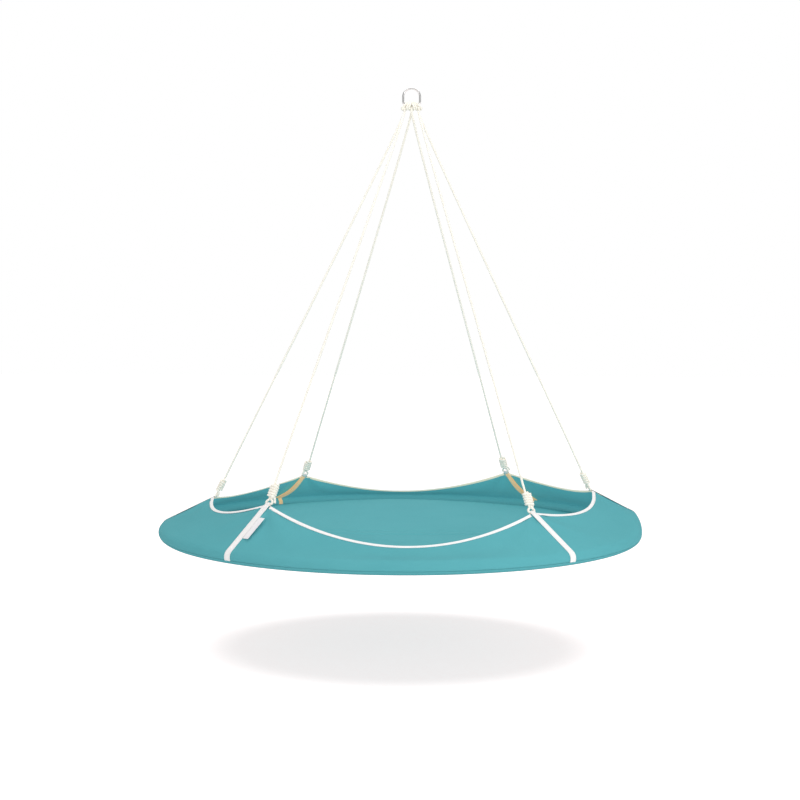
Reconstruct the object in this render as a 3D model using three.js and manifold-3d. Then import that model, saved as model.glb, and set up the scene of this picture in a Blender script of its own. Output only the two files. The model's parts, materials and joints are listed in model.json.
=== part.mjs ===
// Double hammock: a round hanging bed with a scalloped wall, held by three doubled ropes from one D-ring.
// Millimetres, +Z up. Every piece is worked out in the bed's own frame, with the underside at z = 0, the
// bed's centre on the z axis and +X to the right, and is then moved so that the hang point is the origin.

import * as THREE from 'three';
import { mergeVertices } from 'three/addons/utils/BufferGeometryUtils.js';
import Module from 'manifold-3d';

const wasm = await Module();
wasm.setup();

const DEG = Math.PI / 180;
const GRID = 1 / 256;

// Bed, measured to the middle of each flat of its many-sided outline
const BED_RADIUS = 914;
const FLATS = 90;
const HANG_HEIGHT = 1694;
const RING_OFFSET = 36;

// Gap between pieces that touch, and the thickness of each layer
const GAP = 0.35;
const SKIN = 1.6;
const SLING_PLY = 1.6;
const TAPE_THICKNESS = 1.5;
const BINDING_THICKNESS = 1.2;
const BINDING_GAP = 0.5;

// Hoop in the rim: six bent tubes joined by straight spigots
const TUBE_DIAMETER = 42;
const TUBE_WALL = 2;
const TUBE_SPAN = 60;
const TUBE_START = -32;
const SPIGOT_LENGTH = 56;

// Straps, and the height at which the wall is sewn to the base cover
const RIM_SEAM = 14;
const SLING_WIDTH = 16;
const TAPE_WIDTH = 25;
const TAPE_RETURN = 25;
const LOOP_WIDTH = 15;
const BINDING_LEG = 11;
const SLING_BEND = 40;

// Rounded shoulder where the cloth stands off the hoop beside the right strap
const SHOULDER_REACH = 30;
const SHOULDER_KNEE = new THREE.Vector2(2, 20);
const SHOULDER_BEND = new THREE.Vector2(-4, 40);

// Mattress
const MATTRESS_TOP = 34;
const MATTRESS_CROWN = 10;
const SEAM_Y = -320;
const SEAM_WIDTH = 4;
const SEAM_DEPTH = 2.5;
const CROWN_RINGS = [0.7, 0.4, 0];

// Label at the side of one tape
const LABEL = { length: 100, width: 30, thickness: 0.8, below: 62 };

// Ring and ropes
const WIRE_DIAMETER = 8;
const RING_WIDTH = 64;
const RING_LEG = 28;
const RING_CORNER = 8;
const ROPE_DIAMETER = 8;
const ROPE_SIDES = 6;
const LEG_SPACING = 8.6;
const STRAND_SPACING = 8.5;
const HITCH_SPACING = 27;

// Lark's head, as points from the bar's axis: sideways, toward the back, and height. On the legs the
// sideways place is the share of the way from the rope's middle to the strand's place on the bar.
const HITCH_FOOT = 30;
const HITCH_NECK = 24;
const HITCH_EASE = 1;
const HITCH_FRONT_LEG = [[0, -4, -16], [0.3, -1.5, -11.8], [0.75, 3.5, -9.4], [1, 7.7, -5]];
const HITCH_BACK_LEG = [[0, 4.7, -16], [0.35, 6.4, -10.5], [0.85, 8.4, -5]];
const HITCH_DESCENT = [0.45, -9.2, -6.5];
const HITCH_BIGHT = [[9, -8, -13], [9.2, -2, -17], [9.2, 5, -18], [7, 11, -18]];
const HITCH_MIDDLE = [0, 13.3, -18];

// Loop of rope through the tape, and how its two parts come together below the knot: outward and down
const EYE_RISE = 7;
const EYE_BEND = 6;
const EYE_ARC = { from: 50, to: -90, step: -28 };
const EYE_SPREAD = [[0, 0], [0, 2], [0.7, 4.3], [2.2, 6.4]];
const STRAIGHT_LENGTH = 165;

// Knot: turns wound round both parts of the rope, from a turn-over at its top, given as a share of the
// winding's offset, an angle and a rise, down to a free end, given along the eye, down and outward
const KNOT_START = 21;
const KNOT_TOP = 67.8;
const KNOT_HALF_TURNS = 10;
const KNOT_PITCH = 8.8;
const KNOT_OFFSET = 8.9;
const KNOT_TURNOVER = [[0.25, 20, 2.5], [0.6, 40, 4], [0.88, 65, 2.5]];
const KNOT_END = [[1, 4, 4], [2.5, 11, 7], [4, 19, 8.5]];
const ARC_STEPS = 5;

// Straps in order round the bed: how far in from the edge and how high the wall's peak stands, and which
// way round its knot is wound
const STRAPS = [
  { name: 'right', azimuth: 0, inset: 176, peak: 169, hand: 1 },
  { name: 'back_right', azimuth: 52, inset: 165, peak: 177, hand: -1 },
  { name: 'back_left', azimuth: 124, inset: 158, peak: 157, hand: 1 },
  { name: 'left', azimuth: 180, inset: 196, peak: 137, hand: 1 },
  { name: 'front_left', azimuth: 232, inset: 186, peak: 179, hand: 1 },
  { name: 'front_right', azimuth: 308, inset: 186, peak: 155, hand: 1 },
];

// Wall panels, each from one strap to the next: how far its scalloped edge swells out and dips below the
// straight line between the two peaks
const PANELS = [
  { name: 'right_rear', out: 64, dip: 32 },
  { name: 'rear', out: 199, dip: 97 },
  { name: 'left_rear', out: 66, dip: 34 },
  { name: 'left_front', out: 67, dip: 37 },
  { name: 'front', out: 222, dip: 91 },
  { name: 'right_front', out: 67, dip: 33 },
];

// Each rope joins a front leg and a back leg at its hitch on the bar
const ROPES = [
  { name: 'rope_left', place: -1, front: 'front_left', back: 'left' },
  { name: 'rope_rear', place: 0, front: 'back_right', back: 'back_left' },
  { name: 'rope_right', place: 1, front: 'front_right', back: 'right' },
];

const COLOURS = {
  metal: { color: 0xc9c9c7, roughness: 0.3, metalness: 1 },
  tube: { color: 0xb9bcbd, roughness: 0.4, metalness: 1 },
  rope: { color: 0xf1f0ec, roughness: 0.85, metalness: 0 },
  tape: { color: 0xf2efec, roughness: 0.8, metalness: 0 },
  sling: { color: 0xe1be91, roughness: 0.8, metalness: 0 },
  cloth: { color: 0x64b3ba, roughness: 0.75, metalness: 0 },
  lining: { color: 0x4b9aa1, roughness: 0.75, metalness: 0 },
};

// Sizes that follow
const STEP = 360 / FLATS;
const CORNER = 1 / Math.cos((STEP / 2) * DEG);
const ROUND = Math.cos(Math.PI / 8);
const tubeOuter = TUBE_DIAMETER / 2;
const tubeInner = tubeOuter - TUBE_WALL / ROUND;
const spigotOuter = tubeInner - GAP / ROUND;
const spigotInner = spigotOuter - TUBE_WALL / ROUND;
const slingInner = tubeOuter + GAP / ROUND;
const slingOuter = slingInner + SLING_PLY / ROUND;
const skinInner = slingOuter + GAP / ROUND;
const skinOuter = skinInner + SKIN / ROUND;
const hoop = new THREE.Vector2(BED_RADIUS - skinOuter, skinOuter);
const flatWidth = TAPE_WIDTH / 2 + 1;
const ropeRadius = ROPE_DIAMETER / 2;
const ringTop = RING_LEG + RING_WIDTH / 2 - WIRE_DIAMETER / 2;
const barHeight = HANG_HEIGHT - ringTop;
const legSide = LEG_SPACING / 2;

const part = new THREE.Group();

// Welds a geometry, drops its empty triangles and turns its faces outward
function weld(geometry) {
  geometry.deleteAttribute('normal');
  geometry.deleteAttribute('uv');
  const merged = mergeVertices(geometry, 1e-3);
  const position = merged.getAttribute('position');
  const kept = [];
  let volume = 0;
  for (let i = 0; i < merged.index.count; i += 3) {
    const [a, b, c] = [0, 1, 2].map((k) => merged.index.getX(i + k));
    if (a === b || b === c || c === a) continue;
    kept.push(a, b, c);
    const [p, q, r] = [a, b, c].map((k) => new THREE.Vector3().fromBufferAttribute(position, k));
    volume += p.dot(q.cross(r));
  }
  merged.setIndex(volume < 0 ? kept.reverse() : kept);
  return merged;
}

// Every place is rounded to a fine grid, so that edges which meet keep the same numbers in every format
function add(name, geometry, colour) {
  const solid = weld(geometry);
  solid.translate(-RING_OFFSET, 0, -HANG_HEIGHT);
  const numbers = solid.getAttribute('position').array;
  for (let i = 0; i < numbers.length; i++) numbers[i] = Math.round(numbers[i] / GRID) * GRID;
  solid.computeVertexNormals();
  const mesh = new THREE.Mesh(solid, new THREE.MeshStandardMaterial(colour));
  mesh.name = name;
  part.add(mesh);
}

// A place given by an azimuth, a distance out from the centre, a distance along the flat, and a height
function at(azimuth, out, along, height) {
  const a = azimuth * DEG;
  const x = out * Math.cos(a) - along * Math.sin(a);
  const y = out * Math.sin(a) + along * Math.cos(a);
  return new THREE.Vector3(x, y, height);
}

// A place on the rim's section, at a distance and an angle from the hoop's centre line
function rim(radius, degrees) {
  const a = degrees * DEG;
  return new THREE.Vector2(hoop.x + radius * Math.cos(a), hoop.y + radius * Math.sin(a));
}

function octagon(radius) {
  return [0, 45, 90, 135, 180, 225, 270, 315].map((degrees) => rim(radius, degrees));
}

function rightOf(a, b) {
  const d = b.clone().sub(a).normalize();
  return new THREE.Vector2(d.y, -d.x);
}

// The same path moved sideways, to its right where the distance is positive
function offsetPath(points, distance) {
  return points.map((point, i) => {
    const before = i > 0 ? rightOf(points[i - 1], point) : rightOf(point, points[1]);
    const after = i < points.length - 1 ? rightOf(point, points[i + 1]) : before;
    const miter = before.clone().add(after).divideScalar(1 + before.dot(after));
    return point.clone().addScaledVector(miter, distance);
  });
}

function tangentAngle(radius, point) {
  const away = point.clone().sub(hoop);
  return (away.angle() - Math.acos(radius / away.length())) / DEG;
}

function buffer(points, index) {
  const geometry = new THREE.BufferGeometry();
  const numbers = points.flatMap((p) => [p.x, p.y, p.z]);
  geometry.setAttribute('position', new THREE.Float32BufferAttribute(numbers, 3));
  geometry.setIndex(index);
  return geometry;
}

// Joins rings of points into one skin, either closed on itself or with a flat cap at each end. The second
// half of a ring is split along the other diagonal, so that both faces of a sheet fold along the same lines.
function loft(rings, closed = false) {
  const count = rings[0].length;
  const index = [];
  const spans = closed ? rings.length : rings.length - 1;
  for (let i = 0; i < spans; i++) {
    const a = i * count;
    const b = ((i + 1) % rings.length) * count;
    for (let j = 0; j < count; j++) {
      const k = (j + 1) % count;
      if (j < count / 2) index.push(a + j, a + k, b + k, a + j, b + k, b + j);
      else index.push(a + j, a + k, b + j, a + k, b + k, b + j);
    }
  }
  if (!closed) {
    const end = spans * count;
    for (let k = 0; k < count / 2 - 1; k++) {
      const [p, q, r, s] = [k, k + 1, count - 2 - k, count - 1 - k];
      index.push(p, r, q, p, s, r);
      index.push(end + p, end + q, end + r, end + p, end + r, end + s);
    }
  }
  return buffer(rings.flat(), index);
}

// A hollow version: an outer and an inner ring at each station, with a flat rim at each end
function pipe(outer, inner) {
  const count = outer[0].length;
  const points = [...outer.flat(), ...inner.flat()];
  const hole = outer.length * count;
  const index = [];
  const quad = (a, b, c, d) => index.push(a, b, c, a, c, d);
  for (let j = 0; j < count; j++) {
    const k = (j + 1) % count;
    for (let i = 0; i < outer.length - 1; i++) {
      const a = i * count;
      const b = a + count;
      quad(a + j, a + k, b + k, b + j);
      quad(hole + a + k, hole + a + j, hole + b + j, hole + b + k);
    }
    const end = (outer.length - 1) * count;
    quad(j, hole + j, hole + k, k);
    quad(end + k, hole + end + k, hole + end + j, end + j);
  }
  return buffer(points, index);
}

// A flat shape in the plane of a strap, given thickness across that plane
function extrudeAcross(outline, hole, azimuth, width) {
  const shape = new THREE.Shape(outline);
  if (hole) shape.holes.push(new THREE.Path(hole));
  const geometry = new THREE.ExtrudeGeometry(shape, { depth: width, bevelEnabled: false });
  geometry.translate(0, 0, -width / 2);
  const out = at(azimuth, 1, 0, 0);
  const along = at(azimuth, 0, 1, 0);
  const up = new THREE.Vector3(0, 0, 1);
  return geometry.applyMatrix4(new THREE.Matrix4().makeBasis(out, up, along.negate()));
}

// A curve that visits a list of points, one for each step of an extrusion
class Route extends THREE.Curve {
  constructor(points) {
    super();
    this.points = points;
  }

  getUtoTmapping(u) {
    return u;
  }

  getPoint(t) {
    return this.points[Math.round(t * (this.points.length - 1))].clone();
  }

  getTangent(t) {
    const last = this.points.length - 1;
    const i = Math.round(t * last);
    const into = this.points[i].clone().sub(this.points[Math.max(i - 1, 0)]).normalize();
    const outOf = this.points[Math.min(i + 1, last)].clone().sub(this.points[i]).normalize();
    return into.add(outOf).normalize();
  }
}

function ropeSection() {
  const corners = [];
  for (let i = 0; i < ROPE_SIDES; i++) {
    const a = (i / ROPE_SIDES) * 2 * Math.PI;
    corners.push(new THREE.Vector2(ropeRadius * Math.cos(a), ropeRadius * Math.sin(a)));
  }
  return corners;
}

function ropeAlong(points) {
  const options = { steps: points.length - 1, extrudePath: new Route(points), bevelEnabled: false };
  return new THREE.ExtrudeGeometry(new THREE.Shape(ropeSection()), options);
}

// A place on the rim's lower outer facet, at the height of the seam or beside it
function rimSeam(radius, beside = 0) {
  const low = rim(radius, -45);
  const side = rim(radius, 0);
  return low.clone().lerp(side, (RIM_SEAM + beside - low.y) / (side.y - low.y));
}

// The wall's outer face at one place: up the side of the rim, over its bend and straight to the edge
function wallLine(top, lift) {
  const seam = rimSeam(skinOuter, GAP / 2);
  const side = rim(skinOuter, 0);
  const knee = rim(skinOuter, 45).addScaledVector(SHOULDER_KNEE, lift);
  const bend = rim(skinOuter, tangentAngle(skinOuter, top)).addScaledVector(SHOULDER_BEND, lift);
  return [seam, side, knee, bend, top];
}

function wallInside(line) {
  const inside = offsetPath(line, -SKIN);
  inside[0] = rimSeam(skinInner, GAP / 2);
  inside[1] = rim(skinInner, 0);
  return inside;
}

function shoulderLift(azimuth) {
  const away = Math.abs(((azimuth + 180) % 360) - 180) / SHOULDER_REACH;
  return away < 1 ? Math.cos((away * Math.PI) / 2) ** 2 : 0;
}

function peakRadius(strap) {
  return BED_RADIUS - strap.inset;
}

function strapLine(strap) {
  return wallLine(new THREE.Vector2(peakRadius(strap), strap.peak), shoulderLift(strap.azimuth));
}

// Directions at the peak of a strap: up along the wall, and out from it
function strapPeak(strap) {
  const [bend, peak] = strapLine(strap).slice(-2);
  const up = peak.clone().sub(bend).normalize();
  const out = rightOf(bend, peak);
  const place = (rise, off) => peak.clone().addScaledVector(up, rise).addScaledVector(out, off);
  return { peak, up, out, place };
}

// The scalloped edge over one panel, found at a given azimuth by halving
function scallopAt(panel, azimuth) {
  const middle = (panel.start + panel.end) / 2;
  const first = at(panel.start, peakRadius(panel.from), 0, panel.from.peak);
  const last = at(panel.end, peakRadius(panel.to), 0, panel.to.peak);
  const outward = at(middle, 1, 0, 0);
  const sideways = at(middle, 0, 1, 0);
  let [low, high] = [-1, 1];
  let point = first;
  while (high - low > 1e-9) {
    const u = (low + high) / 2;
    const swell = 1 - u * u;
    point = first.clone().lerp(last, (1 + u) / 2).addScaledVector(outward, panel.out * swell);
    point.z -= panel.dip * swell;
    const angle = middle + Math.atan2(point.dot(sideways), point.dot(outward)) / DEG;
    if (angle < azimuth) low = u;
    else high = u;
  }
  return point;
}

// One column of a panel beside a strap, in the plane of the strap's flat
function strapColumn(panel, strap, azimuth, along, azimuthOfDip) {
  const line = strapLine(strap);
  const dip = strap.peak - scallopAt(panel, azimuthOfDip).z;
  const [bend, top] = line.slice(-2);
  top.addScaledVector(bend.clone().sub(top).normalize(), dip);
  return { line, put: (p) => at(azimuth, p.x, along, p.y) };
}

function cornerColumn(panel, azimuth) {
  const edge = scallopAt(panel, azimuth);
  const top = new THREE.Vector2(Math.hypot(edge.x, edge.y) / CORNER, edge.z);
  return { line: wallLine(top, shoulderLift(azimuth)), put: (p) => at(azimuth, p.x * CORNER, 0, p.y) };
}

function panelColumns(panel) {
  const { from, to, start, end } = panel;
  const beside = (strap) => Math.atan2(flatWidth, peakRadius(strap)) / DEG;
  const columns = [];
  columns.push(strapColumn(panel, from, start, GAP / 2, start));
  columns.push(strapColumn(panel, from, start, flatWidth, start + beside(from)));
  for (let azimuth = start + STEP / 2; azimuth < end; azimuth += STEP) {
    columns.push(cornerColumn(panel, azimuth));
  }
  columns.push(strapColumn(panel, to, end, -flatWidth, end - beside(to)));
  columns.push(strapColumn(panel, to, end, -GAP / 2, end));
  return columns;
}

// A wall panel. The strip under the binding is a row of facets of its own, as the binding is.
function wallGeometry(columns) {
  const rings = columns.map(({ line, put }) => {
    const [bend, top] = line.slice(-2);
    const hem = top.clone().addScaledVector(bend.clone().sub(top).normalize(), BINDING_LEG);
    const outside = [...line.slice(0, -1), hem, top];
    return [...outside, ...wallInside(outside).reverse()].map(put);
  });
  return loft(rings);
}

// Folded binding over the scalloped edge, from beside one tape to beside the next
function bindingGeometry(columns) {
  const rings = columns.slice(1, -1).map(({ line, put }) => {
    const [bend, top] = line.slice(-2);
    const up = top.clone().sub(bend).normalize();
    const out = rightOf(bend, top);
    const place = (rise, off) => top.clone().addScaledVector(up, rise).addScaledVector(out, off);
    const [near, far] = [BINDING_GAP, BINDING_GAP + BINDING_THICKNESS];
    const outer = [place(-BINDING_LEG, far), place(far, far), place(far, -SKIN - far),
      place(-BINDING_LEG, -SKIN - far)];
    const inner = [place(-BINDING_LEG, -SKIN - near), place(near, -SKIN - near), place(near, near),
      place(-BINDING_LEG, near)];
    return [...outer, ...inner].map(put);
  });
  return loft(rings);
}

// Depths, out from the wall's outer face, of what is sewn together at a strap
const slingFace = slingOuter - skinOuter;
const slingBack = slingFace - 2 * SLING_PLY;
const returnFace = slingBack - GAP;
const eyeDepth = (GAP + returnFace) / 2;

// Seam tape: from the foot of the rim up the wall, round the rope in a narrower loop and down inside
function tapeGeometry(strap) {
  const { place } = strapPeak(strap);
  const wall = strapLine(strap);
  wall[0] = rimSeam(skinOuter);
  const path = offsetPath(wall, GAP);
  const widths = path.map(() => TAPE_WIDTH);
  const loop = (ropeRadius + GAP) / ROUND;
  for (const degrees of [0, 45, 90, 135, 180]) {
    const a = degrees * DEG;
    path.push(place(EYE_RISE + loop * Math.sin(a), eyeDepth + loop * Math.cos(a)));
    widths.push(LOOP_WIDTH);
  }
  path.push(place(0, returnFace), place(-TAPE_RETURN, returnFace));
  widths.push(LOOP_WIDTH, LOOP_WIDTH);
  const outside = offsetPath(path, TAPE_THICKNESS);
  const rings = path.map((p, i) => {
    const half = widths[i] / 2;
    const q = outside[i];
    return [
      at(strap.azimuth, p.x, -half, p.y),
      at(strap.azimuth, p.x, half, p.y),
      at(strap.azimuth, q.x, half, q.y),
      at(strap.azimuth, q.x, -half, q.y),
    ];
  });
  return loft(rings);
}

function crossing(a, b, c, d) {
  const ab = b.clone().sub(a);
  const cd = d.clone().sub(c);
  const ac = c.clone().sub(a);
  const scale = ab.cross(cd);
  const along = ac.cross(cd) / scale;
  const across = ac.cross(ab) / scale;
  return across >= 0 && across < 1 ? a.clone().addScaledVector(ab, along) : null;
}

// Sling: webbing taken once round the hoop, its two plies running up inside the wall to the eye
function slingGeometry(strap) {
  const { place } = strapPeak(strap);
  const face = [place(EYE_RISE - ropeRadius - GAP - SLING_PLY / 2, slingFace)];
  if (shoulderLift(strap.azimuth) > 0) face.push(place(-SLING_BEND, slingFace));
  face.push(rim(slingOuter, tangentAngle(slingOuter, face[face.length - 1])));
  const back = offsetPath(face, 2 * SLING_PLY).reverse();
  const round = [];
  for (let degrees = 45; degrees >= -270; degrees -= 45) round.push(rim(slingOuter, degrees));
  let meet = crossing(back[1], back[0], rim(slingOuter, 45), rim(slingOuter, 90));
  if (!meet) {
    round.pop();
    meet = crossing(back[1], back[0], rim(slingOuter, 90), rim(slingOuter, 135));
  }
  const outline = [...face, ...round, meet, ...back.slice(1)];
  return extrudeAcross(outline, octagon(slingInner), strap.azimuth, SLING_WIDTH);
}

// Base cover: a flat round of cloth whose edge turns up round the foot of the hoop to the wall's seam
function baseGeometry() {
  const profile = [
    new THREE.Vector2(0, 0),
    rim(skinOuter, -90),
    rim(skinOuter, -45),
    rimSeam(skinOuter, -GAP / 2),
    rimSeam(skinInner, -GAP / 2),
    rim(skinInner, -45),
    rim(skinInner, -90),
    new THREE.Vector2(0, skinOuter - skinInner),
  ];
  return lathe(profile);
}

function lathe(profile) {
  const points = profile.map((p) => new THREE.Vector2(p.x * CORNER, p.y));
  const geometry = new THREE.LatheGeometry(points, FLATS, (STEP / 2) * DEG);
  return geometry.rotateX(Math.PI / 2);
}

function solidOf(geometry) {
  const welded = weld(geometry);
  const vertProperties = Float32Array.from(welded.getAttribute('position').array);
  const triVerts = Uint32Array.from(welded.index.array);
  return new wasm.Manifold(new wasm.Mesh({ numProp: 3, vertProperties, triVerts }));
}

// Mattress: a round pad with a soft edge and a slight crown, one sewn seam drawn into its top
function mattressGeometry() {
  const radius = hoop.x - slingOuter - 2 * GAP;
  const bottom = skinOuter - skinInner + GAP;
  const edge = (MATTRESS_TOP - bottom) / 2;
  const profile = [new THREE.Vector2(0, bottom)];
  for (let degrees = -90; degrees <= 90; degrees += 30) {
    const a = degrees * DEG;
    profile.push(new THREE.Vector2(radius - edge + edge * Math.cos(a), bottom + edge + edge * Math.sin(a)));
  }
  for (const share of CROWN_RINGS) {
    profile.push(new THREE.Vector2(radius * share, MATTRESS_TOP + MATTRESS_CROWN * (1 - share * share)));
  }
  const crest = MATTRESS_TOP + MATTRESS_CROWN + GAP;
  const keel = MATTRESS_TOP + MATTRESS_CROWN * (1 - (SEAM_Y / radius) ** 2) - SEAM_DEPTH;
  const groove = new THREE.Shape([
    new THREE.Vector2(-SEAM_WIDTH / 2, crest),
    new THREE.Vector2(0, keel),
    new THREE.Vector2(SEAM_WIDTH / 2, crest),
  ]);
  const cutter = new THREE.ExtrudeGeometry(groove, { depth: 2 * BED_RADIUS, bevelEnabled: false });
  cutter.translate(0, 0, -BED_RADIUS);
  const basis = new THREE.Matrix4().makeBasis(
    new THREE.Vector3(0, 1, 0), new THREE.Vector3(0, 0, 1), new THREE.Vector3(1, 0, 0));
  cutter.applyMatrix4(basis);
  cutter.translate(0, SEAM_Y, 0);
  const cut = solidOf(lathe(profile)).subtract(solidOf(cutter)).getMesh();
  const geometry = new THREE.BufferGeometry();
  geometry.setAttribute('position', new THREE.BufferAttribute(cut.vertProperties, 3));
  geometry.setIndex(new THREE.BufferAttribute(cut.triVerts, 1));
  return geometry;
}

// One of the six bent tubes of the hoop, from one joint to the next
function tubeGeometry(start) {
  const end = start + TUBE_SPAN;
  const columns = [(p) => at(start, p.x, GAP / 2, p.y)];
  for (let azimuth = start + STEP / 2; azimuth < end; azimuth += STEP) {
    columns.push((p) => at(azimuth, p.x * CORNER, 0, p.y));
  }
  columns.push((p) => at(end, p.x, -GAP / 2, p.y));
  const outer = columns.map((put) => octagon(tubeOuter).map(put));
  const inner = columns.map((put) => octagon(tubeInner).map(put));
  return pipe(outer, inner);
}

// The D-ring lies in the plane of the bar and the hang point: bar, two legs and a round arch
function ringGeometry() {
  const half = RING_WIDTH / 2;
  const centre = [];
  const arc = (x, z, radius, from, to, steps) => {
    for (let i = 0; i <= steps; i++) {
      const a = (from + ((to - from) * i) / steps) * DEG;
      const out = new THREE.Vector3(Math.cos(a), 0, Math.sin(a));
      centre.push({ point: new THREE.Vector3(x, 0, z).addScaledVector(out, radius), out });
    }
  };
  arc(half - RING_CORNER, RING_CORNER, RING_CORNER, -90, 0, 3);
  arc(0, RING_LEG, half, 0, 180, 14);
  arc(-half + RING_CORNER, RING_CORNER, RING_CORNER, 180, 270, 3);
  const side = new THREE.Vector3(0, 1, 0);
  const rings = centre.map(({ point, out }) => {
    const ring = [];
    for (let i = 0; i < 8; i++) {
      const a = ((i + 0.5) / 8) * 2 * Math.PI;
      ring.push(point.clone()
        .addScaledVector(out, (WIRE_DIAMETER / 2) * Math.cos(a))
        .addScaledVector(side, (WIRE_DIAMETER / 2) * Math.sin(a)));
    }
    return ring;
  });
  const geometry = loft(rings, true);
  return geometry.translate(RING_OFFSET, 0, barHeight);
}

// Axes at a strap's eye: along the eye, up the standing part of the rope, and square to both
function eyeFrame(strap, target) {
  const { place } = strapPeak(strap);
  const eye = place(EYE_RISE, eyeDepth);
  const origin = at(strap.azimuth, eye.x, 0, eye.y);
  const up = target.clone().sub(origin).normalize();
  const along = at(strap.azimuth, 0, strap.hand, 0);
  along.addScaledVector(up, -along.dot(up)).normalize();
  const square = up.clone().cross(along);
  return (t, w, n = 0) => origin.clone()
    .addScaledVector(along, t).addScaledVector(up, w).addScaledVector(square, n);
}

function hitchFoot(rope, strap) {
  const back = rope.back === strap.name;
  return new THREE.Vector3(RING_OFFSET + rope.place * HITCH_SPACING, back ? legSide : -legSide,
    barHeight - HITCH_FOOT);
}

// One leg of a rope, from its free end beside the knot, through the eye and up to the hitch
function legPoints(strap, target) {
  const put = eyeFrame(strap, target);
  const half = LOOP_WIDTH / 2;
  const side = EYE_SPREAD.map(([outward, down]) => [legSide + outward, KNOT_START - down]);
  for (let degrees = EYE_ARC.from; degrees >= EYE_ARC.to; degrees += EYE_ARC.step) {
    const a = degrees * DEG;
    side.push([half + EYE_BEND * Math.cos(a), EYE_BEND + EYE_BEND * Math.sin(a)]);
  }
  const mirrored = side.map(([t, w]) => [-t, w]).reverse();
  const flat = [...side, ...mirrored, [-legSide, STRAIGHT_LENGTH]];
  return [...flat.map(([t, w]) => put(t, w)), target];
}

// Lark's head on the bar: both legs pass behind the bar and over it, and the bight comes down in front
// and round behind them. Points are given from the bar's axis, for the strand on one side.
function hitchPoints(rope, front) {
  const side = front ? -1 : 1;
  const below = rope.place * HITCH_SPACING;
  const strand = rope.place * 2 * STRAND_SPACING + (side * STRAND_SPACING) / 2;
  const wrap = ropeRadius + WIRE_DIAMETER / 2 + HITCH_EASE;
  const leg = [[0, side * legSide, -HITCH_NECK], ...(front ? HITCH_FRONT_LEG : HITCH_BACK_LEG)];
  const points = leg.map(([share, y, z]) => [below + (strand - below) * share, y, z]);
  for (let degrees = 0; degrees <= 180; degrees += 45) {
    const a = degrees * DEG;
    points.push([strand, wrap * Math.cos(a), wrap * Math.sin(a)]);
  }
  const bight = HITCH_BIGHT.map(([x, y, z]) => [below + side * x, y, z]);
  const [share, depth, height] = HITCH_DESCENT;
  points.push([strand + (bight[0][0] - strand) * share, depth, height], ...bight);
  return points.map(([x, y, z]) => new THREE.Vector3(RING_OFFSET + x, y, barHeight + z));
}

function ropePoints(rope) {
  const strapOf = (name) => STRAPS.find((strap) => strap.name === name);
  const [front, back] = [strapOf(rope.front), strapOf(rope.back)];
  const middle = new THREE.Vector3(RING_OFFSET + rope.place * HITCH_SPACING, 0, barHeight)
    .add(new THREE.Vector3(...HITCH_MIDDLE));
  return [
    ...legPoints(front, hitchFoot(rope, front)),
    ...hitchPoints(rope, true),
    middle,
    ...hitchPoints(rope, false).reverse(),
    ...legPoints(back, hitchFoot(rope, back)).reverse(),
  ];
}

// The knot's tube as distances along the eye, up the rope and square to both: the returning part runs
// up beside the standing part, turns over and winds down round the two of them, and its end hangs out
function knotRoute() {
  const straight = LEG_SPACING;
  const around = 2 * Math.PI * KNOT_OFFSET + 2 * straight;
  const route = [KNOT_START + GAP, (KNOT_START + KNOT_TOP) / 2, KNOT_TOP - 2].map((w) => [legSide, w, 0]);
  for (const [share, degrees, rise] of KNOT_TURNOVER) {
    const a = degrees * DEG;
    const radius = share * KNOT_OFFSET;
    route.push([legSide + radius * Math.cos(a), KNOT_TOP + rise, radius * Math.sin(a)]);
  }
  let travelled = 0;
  const wind = (t, n) => route.push([t, KNOT_TOP - (travelled / around) * KNOT_PITCH, n]);
  wind(legSide, KNOT_OFFSET);
  for (let half = 1; half <= KNOT_HALF_TURNS; half++) {
    const end = half % 2 === 1 ? -1 : 1;
    travelled += straight;
    wind(end * legSide, -end * KNOT_OFFSET);
    const steps = half === KNOT_HALF_TURNS ? Math.ceil(ARC_STEPS / 2) : ARC_STEPS;
    for (let i = 1; i <= steps; i++) {
      travelled += (Math.PI * KNOT_OFFSET) / ARC_STEPS;
      const a = (i / ARC_STEPS) * Math.PI;
      wind(end * (legSide + KNOT_OFFSET * Math.sin(a)), -end * KNOT_OFFSET * Math.cos(a));
    }
  }
  const [t, w, n] = route[route.length - 1];
  return [...route, ...KNOT_END.map(([along, down, outward]) => [t + along, w - down, n + outward])];
}

// Least gap of a wound tube to itself, on points along its centre line
function leastGap(points) {
  const fine = [];
  points.forEach((point, i) => {
    const next = points[Math.min(i + 1, points.length - 1)];
    for (let k = 0; k < 4; k++) fine.push(point.clone().lerp(next, k / 4));
  });
  const length = [0];
  for (let i = 1; i < fine.length; i++) length.push(length[i - 1] + fine[i].distanceTo(fine[i - 1]));
  let least = Infinity;
  for (let i = 0; i < fine.length; i++) {
    for (let j = i + 1; j < fine.length; j++) {
      if (length[j] - length[i] < 2.5 * ROPE_DIAMETER) continue;
      least = Math.min(least, fine[i].distanceTo(fine[j]) - ROPE_DIAMETER);
    }
  }
  return least;
}

// A wound tube: the rope's section carried along the route without twisting
function woundTube(points) {
  const route = new Route(points);
  const last = points.length - 1;
  let across = null;
  const rings = points.map((point, i) => {
    const tangent = route.getTangent(i / last);
    if (!across) across = new THREE.Vector3(0, 0, 1).cross(tangent);
    across.addScaledVector(tangent, -across.dot(tangent)).normalize();
    const square = tangent.clone().cross(across);
    return ropeSection().map((corner) => point.clone()
      .addScaledVector(across, corner.x).addScaledVector(square, corner.y));
  });
  return loft(rings);
}

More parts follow.
